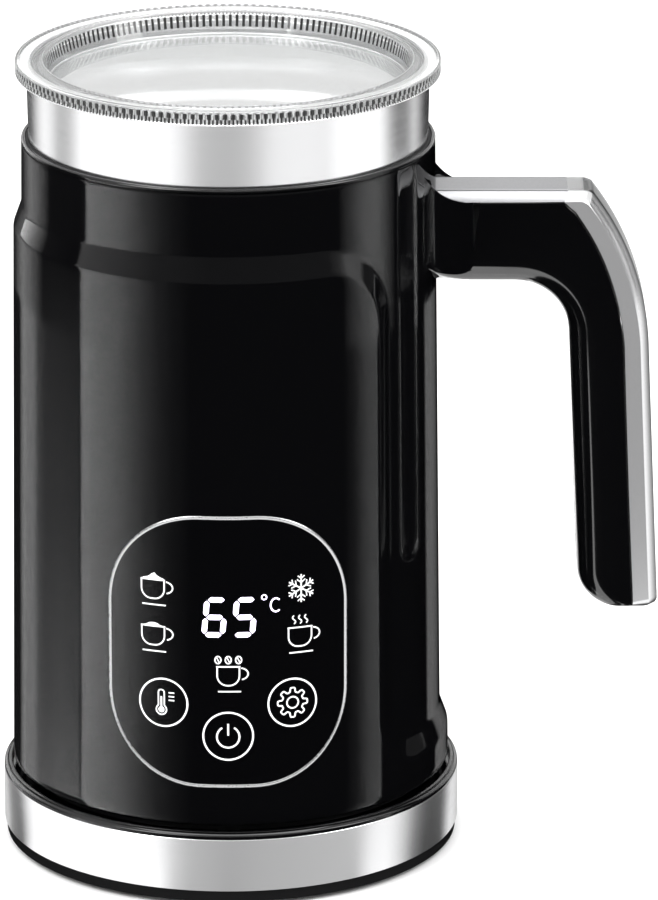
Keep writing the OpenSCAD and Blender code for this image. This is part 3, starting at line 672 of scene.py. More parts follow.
def cup_symbol(symbol, wide=6.1):
    """A side view of a cup: open top, round lower corners, a loop handle and a saucer."""
    w = wide / 2
    body = np.concatenate([line((-w, 2.6), (-w, 0.6)), arc(-w + 2.6, 0.2, 2.6, 180, 270, 10),
                           line((-w + 2.6, -2.4), (w - 2.6, -2.4)),
                           arc(w - 2.6, 0.2, 2.6, 270, 360, 10), line((w, 0.6), (w, 2.6))])
    symbol.pen(body)
    symbol.pen(line((-w - 0.25, 2.6), (w + 0.25, 2.6)))
    symbol.pen(arc(w + 0.1, 0.7, 2.1, -75, 80, 16, 1.55))
    symbol.pen(line((-w + 0.2, -4.0), (w + 0.4, -4.0)))
    return symbol


def seven_segment(symbol, left, lit, width=6.0, height=10.6, thick=1.35, slant=0.09):
    """Digit bars with pointed ends: every bar is a band that narrows over its last third."""
    hw, hh = width / 2 - thick / 2, height / 2 - thick / 2
    ends = {"a": ((-hw, hh), (hw, hh)), "b": ((hw, hh), (hw, 0)), "c": ((hw, 0), (hw, -hh)),
            "d": ((-hw, -hh), (hw, -hh)), "e": ((-hw, 0), (-hw, -hh)), "f": ((-hw, hh), (-hw, 0)),
            "g": ((-hw, 0), (hw, 0))}
    for key in lit:
        a, b = (np.array(p, float) for p in ends[key])
        run = (b - a) / np.linalg.norm(b - a)
        gap = 0.14 + thick * 0.12
        t = np.linspace(0, 1, 13)
        path = a + run * gap + (b - a - 2 * run * gap) * t[:, None]
        reach = np.linalg.norm(b - a) - 2 * gap
        taper = np.clip(np.minimum(t, 1 - t) * reach / (thick * 0.42), 0.12, 1)
        side = np.array([-run[1], run[0]]) * thick / 2
        cells = np.stack([path + side * taper[:, None], path - side * taper[:, None]], 1)
        cells[..., 0] += cells[..., 1] * slant + left
        symbol.grid(cells)


class FROTHER_OT_panel(bpy.types.Operator):
    """Builds the smoked panel sheet, the bright line round it and the lit symbols"""
    bl_idname = "frother.panel"
    bl_label = "Control panel"

    def execute(self, context):
        sizes = context.scene.frother_panel
        low, high = TRIM_LOW.z + 0.0010, TRIM_HIGH.z - 0.0014
        edge = panel_outline(sizes.half, low, high, sizes.corner, 360)
        middle = np.array([0, (low + high) / 2])
        shrink = np.concatenate([np.linspace(0.02, 0.9, 24), [0.95, 0.985, 0.997]])
        sheet = middle + (edge[:, None, :] - middle) * shrink[None, :, None]
        finish_piece("panel_sheet", on_panel(sheet, 0.00003),
                     grid_faces(len(edge), len(shrink), True, False)
                     + [list(range(0, len(edge) * len(shrink), len(shrink)))],
                     "smoked_panel_sheet", "jug", ["control_panel"])
        self.trim(edge, sizes.line)
        self.symbols(sizes)
        return {"FINISHED"}

    def trim(self, edge, width):
        """The line's section is a low dome: half a sine wave across its width."""
        across = np.linspace(-0.5, 0.5, 9)
        ahead = np.roll(edge, -1, 0) - np.roll(edge, 1, 0)
        ahead = ahead / np.linalg.norm(ahead, axis=1)[:, None]
        side = np.stack([-ahead[:, 1], ahead[:, 0]], -1)
        flat = edge[:, None, :] + side[:, None, :] * across[None, :, None] * width
        dome = 0.00022 * np.cos(across * math.pi)
        points = on_panel(flat, dome[None, :] - 0.00002)
        under = on_panel(flat[:, [-1, 0]], -0.0003)
        points = np.concatenate([points, under], 1)
        finish_piece("panel_trim_line", points, grid_faces(len(edge), points.shape[1], True, True),
                     "bright_trim_foil", "jug", ["panel_trim_ring"], weld=True)

    def symbols(self, sizes):
        """Cups, snowflake, digits and keys, each drawn about its own centre."""
        z0 = SHELL_Z0
        foam = cup_symbol(Print(-0.0191, z0 + 0.0623))
        top = line((-3.1, 2.7), (-2.4, 3.1), (-1.2, 3.4), (-0.2, 4.2), (0.5, 4.5), (1.0, 3.9),
                   (2.0, 3.3), (2.9, 3.0), (3.1, 2.7))
        foam.between(top, np.stack([top[:, 0], 2.7 + 0 * top[:, 0]], -1))
        foam.lay("symbol_foam_cup")

        latte = cup_symbol(Print(-0.0191, z0 + 0.0500))
        cream = np.concatenate([line((-3.1, 2.7), (-1.7, 3.0)), arc(0, 2.6, 1.9, 150, 30, 10, 1.0),
                                line((1.7, 3.0), (3.1, 2.7))])
        latte.between(cream, np.stack([cream[:, 0], 2.7 + 0 * cream[:, 0]], -1))
        latte.lay("symbol_latte_cup")

        hot = cup_symbol(Print(0.0186, z0 + 0.0497))
        for x in (-1.6, 0.0, 1.6):
            t = np.linspace(0, 1, 14)
            hot.pen(np.stack([x + 0.4 * np.sin(t * TAU), 3.6 + 2.2 * t], -1), 0.34)
        hot.lay("symbol_hot_cup")

        beans = cup_symbol(Print(0.0002, z0 + 0.0402), wide=5.6)
        for x in (-2.6, 0.0, 2.6):
            beans.pen(arc(x, 4.4, 0.75, 0, 360, 18, 0.95), 0.35, True)
            beans.pen(line((x - 0.3, 5.0), (x + 0.3, 3.8)), 0.28)
        beans.lay("symbol_cocoa_cup")

        cold = Print(0.0189, z0 + 0.0626)
        for k in range(6):
            a = math.radians(60 * k + 30)
            d, n = np.array([math.cos(a), math.sin(a)]), np.array([-math.sin(a), math.cos(a)])
            cold.pen(line((0, 0), d * 3.7))
            for reach, branch in ((1.5, 1.1), (2.6, 0.9)):
                for s in (-1, 1):
                    cold.pen(line(d * reach, d * (reach + branch * 0.8) + n * s * branch), 0.3)
        cold.lay("symbol_snowflake")

        digits = Print(0.0006, z0 + 0.0559)
        seven_segment(digits, -3.75, "acdefg")
        seven_segment(digits, 3.75, "acdfg")
        digits.lay("display_digits", "display_light")

        degree = Print(0.0113, z0 + 0.0588)
        degree.pen(arc(-2.0, 2.2, 0.62, 0, 360, 20), 0.3, True)
        degree.pen(arc(1.0, 0, 1.35, 48, 312, 24, 1.75))
        degree.lay("display_unit", "display_light")

        for name, x, z in (("heat", -0.0165, 0.0325), ("power", 0.0001, 0.0243),
                           ("menu", 0.0166, 0.0325)):
            key = Print(x, z0 + z)
            key.pen(arc(0, 0, sizes.key / MM, 0, 360, 73)[:-1], 0.46, True)
            getattr(self, name)(key)
            key.lay("key_" + name)

    def heat(self, key):
        """A thermometer with its bulb and scale."""
        tube = np.concatenate([arc(-0.5, -1.9, 1.35, 125, 415, 26), arc(-0.5, 2.6, 0.78, 0, 180, 12)])
        key.pen(tube, 0.36, True)
        key.pen(line((-0.5, -1.9), (-0.5, 1.6)), 0.45)
        bulb = arc(-0.5, -1.9, 0.8, 0, 180, 14)
        key.between(bulb, bulb * [1, -1] + [0, -3.8])
        for y in (2.7, 1.7, 0.7):
            key.pen(line((1.4, y), (2.9, y)), 0.34)

    def power(self, key):
        """An open ring with a bar through its gap."""
        key.pen(arc(0, -0.2, 2.85, 122, 418, 40), 0.46)
        key.pen(line((0, 0.2), (0, 3.3)), 0.46)

    def menu(self, key):
        """A gear wheel: its rim swings between two radii eight times round."""
        a = np.linspace(0, TAU, 129)[:-1]
        teeth = 3.35 + 0.55 * np.tanh(3.2 * np.cos(8 * a))
        rim = np.stack([teeth * np.cos(a), teeth * np.sin(a)], -1)
        key.pen(rim, 0.4, True)
        key.pen(arc(0, 0, 1.5, 0, 360, 33)[:-1], 0.4, True)


# ---- cup ----

class FROTHER_OT_cup(bpy.types.Operator):
    """Builds the steel cup with its collar and the soft ring round it"""
    bl_idname = "frother.cup"
    bl_label = "Steel cup"

    def execute(self, context):
        wall = STEEL_SHEET
        top, floor = CUP_HIGH.z, CUP_LOW.z
        collar = GASKET_HIGH.x - 0.0008
        mouth = CUP_HIGH.x
        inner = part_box("heater_plate")[1].x + 0.003
        step0, step1 = SHELL_Z1 - 0.0114, SHELL_Z1 - 0.0064
        outside = [(0, floor), (inner - 0.006, floor), (inner, floor + 0.005), (inner, step0),
                   (collar, step1), (collar, SHELL_Z1 + 0.001), (mouth, top - 0.0006),
                   (mouth + 0.0005, top)]
        inside = [(mouth - wall, top), (collar - wall, SHELL_Z1 + 0.001), (collar - wall, step1),
                  (inner - wall, step0), (inner - wall, floor + 0.006), (inner - 0.006, floor + wall),
                  (0, floor + wall)]
        radii = [0, 0.004, 0.004, 0.002, 0.002, 0, 0.0003, 0.0003, 0.0003, 0, 0.002, 0.002,
                 0.004, 0.004, 0]
        turned_solid("cup_skin", outside + inside, radii, STEEL_STEPS, "brushed_stainless",
                     "jug", ["steel_cup"])
        low, high = GASKET_LOW.z, GASKET_HIGH.z
        turned_solid("cup_ring", [(collar, low), (GASKET_HIGH.x, low), (GASKET_HIGH.x, high),
                                  (collar, high)], [0.0002, 0.0002, 0.0003, 0.0003], RING_STEPS,
                     "black_silicone", "jug", ["cup_rim_gasket"])
        return {"FINISHED"}


# ---- lid ----

class FROTHER_OT_lid(bpy.types.Operator):
    """Builds the clear lid with its ribbed rim, and its seal"""
    bl_idname = "frother.lid"
    bl_label = "Lid"

    def execute(self, context):
        sizes = context.scene.frother_lid
        rim, top, low = LID_HIGH.x, LID_HIGH.z, LID_HIGH.z - 0.0034
        plug = SEAL_HIGH.x - 0.00055
        foot = LID_LOW.z
        dish_r, dish = rim - sizes.ring, top - sizes.dish
        wall = sizes.wall
        ribs = [(rim - 0.0001, low + 0.0006 + k * 0.00036) for k in range(7)]
        corners = ([(0, dish - wall), (dish_r - 0.0016, dish - wall), (plug - wall, low - 0.002),
                    (plug - wall, foot), (plug, foot), (plug, low + 0.0002),
                    (rim - 0.0024, low + 0.0002), (rim - 0.0022, low), (rim - 0.0001, low),
                    (rim - 0.0001, low + 0.0005)] + ribs
                   + [(rim - 0.0001, top - 0.0005), (rim - 0.0001, top), (rim - 0.0011, top),
                      (rim - 0.0013, top - 0.00012), (dish_r + 0.0008, top - 0.00012),
                      (dish_r + 0.0006, top), (dish_r, top), (dish_r - 0.0014, dish), (0, dish)])
        radii = ([0, 0.0008, 0.0008, 0.0003, 0.0003, 0.0003, 0, 0, 0.0002, 0] + [0] * 7
                 + [0, 0.0003, 0, 0, 0, 0, 0.0005, 0.0006, 0])

        def ribbed(turn, profile):
            """Ribs with round crests: the radius dips by |sin| of half the rib count."""
            zone = ((profile[..., 1] > low + 0.00055) & (profile[..., 1] < top - 0.0006)
                    & (profile[..., 0] > rim - 0.0004))
            dip = 1 - np.abs(np.sin(turn * sizes.ribs / 2))
            return -sizes.rib_depth * dip * zone
        turned_solid("lid_skin", corners, radii, sizes.ribs * 8, "clear_styrene", "lid",
                     ["lid_cover"], ribbed, 3)
        out, into = SEAL_HIGH.x, plug
        z0, z1 = SEAL_LOW.z, SEAL_HIGH.z
        mid = (z0 + z1) / 2
        turned_solid("lid_seal_ring",
                     [(into, z0), (into + 0.0003, z0), (out, z0 + 0.0008), (into + 0.0003, mid),
                      (out, z1 - 0.0008), (into + 0.0003, z1), (into, z1)],
                     [0, 0, 0.0003, 0.0001, 0.0003, 0, 0], RING_STEPS, "clear_silicone",
                     "lid", ["lid_seal"])
        return {"FINISHED"}


# ---- handle ----

def along(points, fractions):
    """Points at the given fractions of a polyline's length."""
    steps = np.concatenate([[0], np.cumsum(np.linalg.norm(np.diff(points, axis=0), axis=1))])
    at = np.asarray(fractions) * steps[-1]
    return np.stack([np.interp(at, steps, points[:, 0]), np.interp(at, steps, points[:, 1])], -1)


def bow(cx, cz, radius, a0, a1, count):
    """Points on a circle from angle a0 to a1, in radians."""
    a = np.linspace(a0, a1, count)
    return np.stack([cx + radius * np.cos(a), cz + radius * np.sin(a)], -1)


def handle_stations(sizes):
    """Outer and inner outline of the handle in the XZ plane, as matching points from root to
    tip: straight arm, bend, leaning grip, rounded tip."""
    top, under = SPINE_HIGH.z, SPINE_HIGH.z - sizes.arm_height
    tip_z = ARM_LOW.z
    lean = sizes.lean
    grip_z = under - sizes.inner_bend
    grip_x = FOOT_R + 0.0302
    cx, cz = grip_x + sizes.depth - sizes.bend, top - sizes.bend_drop
    start = math.asin(sizes.bend_drop / sizes.bend)
    root = FOOT_R - 0.0045
    corner = cx + sizes.bend * math.cos(start)
    end_x = cx + sizes.bend / math.cos(lean) - (tip_z + 0.014 - cz) * math.tan(lean)
    tip_cx = grip_x + (grip_z - tip_z - sizes.tip) * math.tan(lean) + sizes.tip

    outer_bend = np.concatenate([[(FOOT_R + 0.0215, top)], [(corner - 0.0012, top)],
                                 bow(cx, cz, sizes.bend, start - 0.012, lean, 60)])
    inner_bend = np.concatenate([[(grip_x - sizes.inner_bend - 0.001, under)],
                                 bow(grip_x - sizes.inner_bend, grip_z, sizes.inner_bend,
                                     math.pi / 2, lean, 40)])
    grip_end_out = np.array([end_x, tip_z + 0.014])
    grip_end_in = np.array([tip_cx - sizes.tip, tip_z + sizes.tip])
    tip_out = np.array([grip_end_out, [end_x + 0.0125 * math.tan(lean), tip_z + 0.0015],
                        [end_x + 0.0125 * math.tan(lean) - 0.0004, tip_z + 0.0004],
                        [end_x + 0.0125 * math.tan(lean) - 0.0015, tip_z]])
    tip_in = np.concatenate([[grip_end_in], bow(tip_cx, tip_z + sizes.tip, sizes.tip, math.pi,
                                                1.5 * math.pi, 24), [(tip_cx + 0.0015, tip_z)]])
    arm = np.linspace(0, 1, 14)[:-1]
    bend = np.linspace(0, 1, 72)[:-1]
    grip = np.linspace(0, 1, 16)[:-1]
    tip = np.concatenate([np.linspace(0, 0.9, 26), np.linspace(0.91, 1, 10)])
    outer = np.concatenate([along(np.array([(root, top), outer_bend[0]]), arm),
                            along(outer_bend, bend),
                            along(np.array([outer_bend[-1], grip_end_out]), grip),
                            along(tip_out, tip)])
    inner = np.concatenate([along(np.array([(root, under), inner_bend[0]]), arm),
                            along(inner_bend, bend),
                            along(np.array([inner_bend[-1], grip_end_in]), grip),
                            along(tip_in, tip)])
    return outer, inner


def swept(outer, inner, section, squeeze):
    """Carries a section along the handle. A section row is (a, b, y): its point lies
    a + b * thickness in from the outer outline, and y to the side, scaled by squeeze."""
    run = outer - inner
    thick = np.linalg.norm(run, axis=1)
    run = run / thick[:, None]
    a, b, y = (section[..., k] for k in range(3))
    deep = a + b * thick[:, None]
    flat = outer[:, None, :] - run[:, None, :] * deep[..., None]
    side = np.broadcast_to(y, deep.shape) * squeeze[:, None]
    return np.stack([flat[..., 0], side, flat[..., 1]], -1)


def mirrored(half):
    """Closes a section drawn for y >= 0 by its mirror image, in reverse order."""
    back = half[..., ::-1, :].copy()
    back[..., 2] *= -1
    return np.concatenate([half, back], -2)


def capped(points, name, finish, body, stands_for=()):
    """A tube of sections with both of its ends closed."""
    rows, columns = points.shape[:2]
    faces = grid_faces(rows, columns, False, True)
    faces.append(list(range(columns)))
    faces.append(list(range((rows - 1) * columns, rows * columns)))
    finish_piece(name, points, faces, finish, body, stands_for, weld=True)


class FROTHER_OT_handle(bpy.types.Operator):
    """Builds the handle: black shell, flared root, silver plate and bright spine"""
    bl_idname = "frother.handle"
    bl_label = "Handle"

    def execute(self, context):
        sizes = context.scene.frother_handle
        outer, inner = handle_stations(sizes)
        half = SPINE_HIGH.y
        seam_x = PLATE_HIGH.x
        run = np.concatenate([[0], np.cumsum(np.linalg.norm(np.diff(outer, axis=0), axis=1))])
        seam = run[np.argmax(outer[:, 0] > seam_x)]
        tip_z = ARM_LOW.z
        squeeze = 1 - 0.28 * np.clip(1 - (outer[:, 1] - tip_z) / 0.0024, 0, 1)
        split = sizes.facet + (sizes.spine - sizes.facet) * np.clip((run - seam) / 0.0065, 0, 1) ** 0.8
        self.grip(sizes, outer, inner, half, squeeze, split)
        self.spine(sizes, outer, inner, half, squeeze, split, run >= seam)
        self.plate(sizes, outer, inner, half, squeeze, run <= seam)
        self.root(sizes, half)
        return {"FINISHED"}

    def grip(self, sizes, outer, inner, half, squeeze, split):
        """Black shell: flat sides and a quarter-round along both inner edges."""
        a = np.linspace(0, math.pi / 2, 10)
        n = len(outer)
        rows = [[split + 0.0001, 0 * split, 0 * split + half - 0.0004],
                [split + 0.0001, 0 * split, 0 * split + half - 0.0002],
                [split + 0.0003, 0 * split, 0 * split + half - 0.00002],
                [split + 0.0007, 0 * split, 0 * split + half],
                [np.full(n, -sizes.round - 0.0004), np.ones(n), np.full(n, half)]]
        for k in a:
            rows.append([np.full(n, -sizes.round * (1 - math.sin(k))), np.ones(n),
                         np.full(n, half - sizes.round * (1 - math.cos(k)))])
        section = np.stack([np.stack(r, -1) for r in rows], 1)
        beyond = outer[:, 0] > FOOT_R + 0.0055
        section, o, i = mirrored(section)[beyond], outer[beyond], inner[beyond]
        capped(swept(o, i, section, squeeze[beyond]), "handle_grip", "gloss_black_handle", "jug",
               ["handle_shell"])

    def spine(self, sizes, outer, inner, half, squeeze, split, chosen):
        """Bright spine: flat face, a facet to each side and flat flanks."""
        flat, facet = sizes.flat_half, sizes.facet
        rows = [(0 * split, 0.0), (0 * split, flat * 0.5), (0 * split, flat - 0.0003),
                (0 * split + 0.00006, flat), (0 * split + facet - 0.0001, half - 0.00015),
                (0 * split + facet + 0.0001, half), (np.maximum(split - 0.0002, facet + 0.0002), half),
                (np.maximum(split - 0.00005, facet + 0.0003), half - 0.0002),
                (np.maximum(split - 0.00005, facet + 0.0003), half - 0.003)]
        section = np.stack([np.stack([r, 0 * r, 0 * r + y], -1) for r, y in rows], 1)
        section = mirrored(section)[chosen]
        capped(swept(outer[chosen], inner[chosen], section, squeeze[chosen]), "handle_spine",
               "satin_chrome", "jug", ["handle_chrome_spine"])

    def plate(self, sizes, outer, inner, half, squeeze, chosen):
        """Silver plate on the arm: a flat top with a fine line before each facet."""
        flat, facet = sizes.flat_half, sizes.facet
        rows = [(0.0, 0.0), (0.0, flat - 0.0009), (0.0001, flat - 0.0008), (0.0013, flat - 0.0007),
                (0.0013, flat - 0.0002), (0.0001, flat + 0.0001), (0.00015, flat + 0.0003),
                (facet - 0.0004, half - 0.0008), (facet - 0.0001, half - 0.0006),
                (facet - 0.0001, half - 0.0003), (facet, half - 0.0002), (facet, half - 0.003)]
        section = np.array([[(r, 0.0, y) for r, y in rows]])
        section = np.repeat(mirrored(section), len(outer), 0)[chosen]
        capped(swept(outer[chosen], inner[chosen], section, squeeze[chosen]), "handle_plate",
               "silver_paint", "jug", ["handle_top_plate"])

    def root(self, sizes, half):
        """Flare between the arm and the jug: a Bezier curve from each point of the arm's edge,
        along the arm to the jug's surface and out along that surface."""
        jug = bpy.context.scene.frother_jug
        top = SPINE_HIGH.z - sizes.facet - 0.0001
        under = SPINE_HIGH.z - sizes.arm_height
        n = 15
        u = np.linspace(-1, 1, 2 * n + 1)
        v = np.linspace(0, 1, n + 1)[1:-1]
        arc_y = half - sizes.round
        a = np.linspace(0, math.pi / 2, 8)
        right_y = np.concatenate([0 * v + half, half - sizes.round * (1 - np.cos(a))])
        side_z = top + (under + sizes.round - top) * v
        right_z = np.concatenate([side_z, under + sizes.round * (1 - np.sin(a))])
        bottom_y = np.linspace(arc_y, -arc_y, 9)[1:-1]
        y = np.concatenate([u * half, right_y, bottom_y, -right_y[::-1]])
        z = np.concatenate([0 * u + top, right_z, 0 * bottom_y + under, right_z[::-1]])
        share = (z - under) / (top - under)
        wide = np.clip(np.abs(y) / half, 0, 1)
        lift = np.clip((wide - 0.45) / 0.55, 0, 1) ** 1.6
        far_y = y * (1 + 1.2 * wide ** 2 * np.clip(lift * 1.2, 0, 1))
        # The flare's foot on the jug rises at its lower edge and, more, at its upper edge
        low_rise, high_rise = 0.0058, 0.0140
        far_z = (under + low_rise * lift) + (top - under + (high_rise - low_rise) * lift) * share

        def on_jug(py, pz):
            """Distance from the axis, along X, of the pocket's floor."""
            radius = outer_radius(pz) - jug.recess - 0.0001
            return np.sqrt(np.maximum(radius ** 2 - py ** 2, 0))

        start = np.stack([0 * y + FOOT_R + 0.0056, y, z], -1)
        bend = np.stack([on_jug(y, z) + 0.0002, y, z], -1)
        end = np.stack([on_jug(far_y, far_z), far_y, far_z], -1)
        t = np.linspace(0, 1, 16)[:, None, None]
        points = (1 - t) ** 2 * start + 2 * t * (1 - t) * bend + t ** 2 * end
        inward = points[-1:].copy()
        inward[..., 0] -= 0.0012
        points = np.concatenate([points, inward])
        capped(points, "handle_root", "polished_black_abs", "jug")


# ---- power base ----

class FROTHER_OT_base(bpy.types.Operator):
    """Builds the power base: steel band, black cover, feet and cord gland"""
    bl_idname = "frother.base"
    bl_label = "Power base"

    def execute(self, context):
        z0, z1 = BAND_LOW.z, BAND_HIGH.z
        r, wall = BASE_R, STEEL_SHEET
        turned_solid("steel_band_skin", [(r - wall, z0), (r, z0), (r, z1), (r - wall, z1)],
                     [0.0001, 0.0004, 0.0004, 0.0001], STEEL_STEPS, "brushed_stainless",
                     "base", ["base_steel_band"])
        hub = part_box("base_socket_housing")[1].x - 0.003
        deck = z1 - 0.0003
        inner = r - wall - 0.002
        outline = [(inner, z0), (r - wall - 0.00005, z0), (r - wall - 0.00005, z1 + 0.0001),
                   (r - 0.00005, z1 + 0.0001), (r - 0.0001, z1 + 0.0008), (r - 0.0009, z1 + 0.0014),
                   (r - 0.00105, z1 + 0.0012), (r - 0.0012, z1 + 0.0012), (r - 0.00125, z1 + 0.0016),
                   (r - 0.0019, z1 + 0.0018), (r - 0.0021, z1 + 0.0017), (r - 0.0022, deck),
                   (hub + 0.0032, deck), (hub + 0.003, deck - 0.0022), (inner, deck - 0.0022)]
        radii = [0, 0, 0, 0.0001, 0.0005, 0.0002, 0, 0, 0.0001, 0.0002, 0.0001, 0.0002, 0.0003, 0, 0]
        turned_solid("base_cover_skin", outline, radii, STEEL_STEPS, "polished_black_abs",
                     "base", ["base_top_cover"], round_steps=4)
        self.feet()
        self.gland()
        return {"FINISHED"}

    def feet(self):
        """Rubber pads at four corners and the centre, each with a shallow ring pressed in."""
        top = FEET_HIGH.z
        pad = 0.006
        place = FEET_HIGH.x - pad
        profile = rounded([(0, 0.0003), (0.0032, 0.0003), (0.0036, 0), (pad, 0), (pad, top),
                           (0, top)], [0, 0, 0, 0.0005, 0, 0], 4)
        one = turned(profile, 40)
        rows, columns = one.shape[:2]
        faces, points = [], []
        for k, (sx, sy) in enumerate(((1, 1), (-1, 1), (-1, -1), (1, -1), (0, 0))):
            points.append(one + np.array([sx * place, sy * place, 0]))
            faces += grid_faces(rows, columns, True, False, k * rows * columns)
        finish_piece("foot_pads", np.concatenate(points), faces, "foot_rubber", "base",
                     ["base_rubber_feet"], weld=True)

    def gland(self):
        """Cord outlet: a turned sleeve with three grooves round its outer end."""
        bore, back, out = 0.0032, GLAND_LOW.y, GLAND_HIGH.y
        r = (GLAND_HIGH.x - GLAND_LOW.x) / 2
        z = (GLAND_HIGH.z + GLAND_LOW.z) / 2
        wall = BASE_R + 0.0004
        tail = np.linspace(wall, out - 0.0004, 19)
        ribs = [(r - 0.0001 - 0.0007 * (y - wall) / (out - wall)
                 - 0.0003 * (1 + math.cos((y - wall) / 0.0012 * TAU)) / 2, y) for y in tail]
        profile = np.array([(bore, back), (r, back), (r, back + 0.0024), (r - 0.001, back + 0.0024),
                            (r - 0.001, wall)] + ribs + [(r - 0.0012, out), (bore, out)])
        ring = turned(profile, 48)
        points = np.stack([ring[..., 0], ring[..., 2], z - ring[..., 1]], -1)
        finish_piece("cord_outlet_sleeve", points, grid_faces(*ring.shape[:2], True, True),
                     "black_silicone", "base", ["cord_gland"], weld=True)


# ---- whisk ----

class FROTHER_OT_whisk(bpy.types.Operator):
    """Builds the whisk's wound spring ring"""
    bl_idname = "frother.whisk"
    bl_label = "Whisk"

    def execute(self, context):
        # The wire's centre winds round a ring: 72 turns, 14 steps each, then a thin tube
        # follows it, its section's axes turned to face away from the ring's centre line
        z = (COIL_LOW.z + COIL_HIGH.z) / 2
        winding = (COIL_HIGH.z - COIL_LOW.z) / 2
        ring = COIL_HIGH.x - winding
        turns, wire, steps = 72, 0.0004, 72 * 14
        t = np.linspace(0, TAU, steps, endpoint=False)
        w = winding - wire
        centre = np.stack([(ring + w * np.cos(turns * t)) * np.cos(t),
                           (ring + w * np.cos(turns * t)) * np.sin(t), z + w * np.sin(turns * t)], -1)
        ahead = np.roll(centre, -1, 0) - np.roll(centre, 1, 0)
        ahead /= np.linalg.norm(ahead, axis=1)[:, None]
        side = centre - np.stack([ring * np.cos(t), ring * np.sin(t), 0 * t + z], -1)
        side /= np.linalg.norm(side, axis=1)[:, None]
        other = np.cross(ahead, side)
        a = np.linspace(0, TAU, 7, endpoint=False)
        points = (centre[:, None, :] + wire * (np.cos(a)[None, :, None] * side[:, None, :]
                                               + np.sin(a)[None, :, None] * other[:, None, :]))
        finish_piece("whisk_spring", points, grid_faces(steps, len(a), True, True),
                     "drawn_stainless", "whisk", ["whisk_coil"], weld=True)
        return {"FINISHED"}


# ---- carried-over CAD nodes ----

CAD_FINISH = {
    "satin_black_abs": ["base_foot_plate", "jug_bottom_cover"],
    "dark_technical_plastic": ["base_socket_housing", "motor_mount", "whisk_hub"],
    "natural_technical_plastic": ["cord_clamp", "ribbon_cable", "jug_connector",
                                  "magnet_holder"],
    "component_plastic": ["display_module", "power_board_parts"],
    "red_wire_sleeve": ["heater_leads"],
    "white_diffuser": ["display_light_guide"],
    "zinc_plate": ["base_screws", "base_centre_pin", "cup_whisk_pin", "temperature_sensor",
                   "motor_can", "motor_mount_screws", "jug_screws", "handle_screws",
                   "motor_shaft"],
    "contact_brass": ["base_contact_rings", "thermostat", "touch_springs", "jug_contacts"],
    "cast_aluminium": ["heater_plate", "handle_bracket"],
    "dull_heater_steel": ["heater_tube"],
    "solder_mask_board": ["control_board", "power_board"],
    "enamelled_copper": ["motor_armature"],
    "nickel_magnet": ["drive_magnets", "whisk_magnets"],
}


class FROTHER_OT_inside(bpy.types.Operator):
    """Gives every carried-over CAD piece its own finish"""
    bl_idname = "frother.inside"
    bl_label = "Inner pieces"

    def execute(self, context):
        for finish, nodes in CAD_FINISH.items():
            for name in nodes:
                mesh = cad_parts[name].data
                mesh.materials.clear()
                mesh.materials.append(material(finish))
        return {"FINISHED"}


# ---- stage ----

# Strength of the light that each finish mirrors, by angle from the jug's front in degrees
GLOSS_FLOOR = [(-89, 0.0), (-75, 0.02), (-71, 0.8), (-64, 0.95), (-61, 0.32), (-57, 0.12),
               (-46, 0.08), (-42.6, 0.1), (-42.1, 2.95), (-40, 2.9), (-36, 2.4), (-31, 1.9),
               (-27, 1.2), (-23, 0.6), (-19, 0.25), (-15, 0.09), (-10, 0.0), (32, 0.0),
               (35.4, 0.13), (39.4, 0.72), (43.2, 1.0), (43.8, 0.0), (69.4, 0.0), (70.6, 0.5),
               (74, 0.4), (79, 0.2), (84, 0.0), (89, 0.0)]
GLOSS_FAR = [(-89, 0.0), (-80, 0.05), (-76, 0.25), (-71, 0.7), (-66, 0.65), (-62, 0.35),
             (-58.7, 0.02), (-44, 0.02), (-42.6, 0.1), (-42.1, 2.7), (-36, 2.3), (-31, 1.9),
             (-27, 1.2), (-23, 0.6), (-19, 0.25), (-15, 0.09), (-10, 0.0), (32, 0.0),
             (35.4, 0.45), (39.4, 1.1), (43, 1.45), (45.8, 1.3), (50.7, 0.3), (53, 0.0),
             (89, 0.0)]
GLOSS_NEAR = [(-66, 0.0), (-60, 0.5), (-57, 0.75), (-50, 1.3), (-44, 1.5), (-42.6, 0.0)]
GLOSS_WALL = [(-89, 0.2), (-78, 1.6), (-71, 2.4), (-63, 1.1), (-57, 0.05), (-43.6, 0.0),
              (-43.2, 0.9), (-32, 0.6), (-20, 0.2), (-5, 0.1), (30, 0.12), (36, 0.4),
              (41, 1.3), (48, 1.0), (51, 0.1), (60, 0.1), (64, 0.6), (70, 1.3), (78, 1.4),
              (85, 1.0), (89, 0.3)]
COLLAR_LIGHT = [(-89, 0.0), (-76, 0.05), (-70, 0.9), (-66, 1.4), (-61, 1.2), (-57, 0.45),
                (-51, 0.6), (-47, 1.5), (-16, 1.4), (-12, 1.0), (-8, 0.62), (3, 0.58),
                (8, 0.75), (13, 1.15), (27, 1.15), (29, 0.95), (33, 1.4), (50, 1.5),
                (54, 0.35), (57, 0.15), (64, 0.3), (67, 1.1), (71, 0.5), (76, 0.0), (89, 0.0)]
BAND_LIGHT = [(-89, 0.3), (-80, 0.9), (-74, 0.3), (-66, 0.1), (-61, 1.2), (-57, 1.5),
              (-18, 1.4), (-14, 0.8), (-10, 0.6), (0, 0.5), (8, 0.55), (28, 0.62), (33, 0.62),
              (38, 1.2), (43, 1.3), (48, 0.9), (53, 0.25), (58, 0.08), (68, 0.1), (74, 1.1),
              (89, 0.4)]
CHROME_LIGHT = [(-89, 1.4), (-84, 1.2), (-70, 1.1), (-20, 1.1), (-14, 0.48), (14, 0.48),
                (20, 0.9), (26, 1.4), (52, 1.4), (62, 0.5), (68, 0.1), (80, 0.1), (85, 1.2),
                (89, 1.4)]
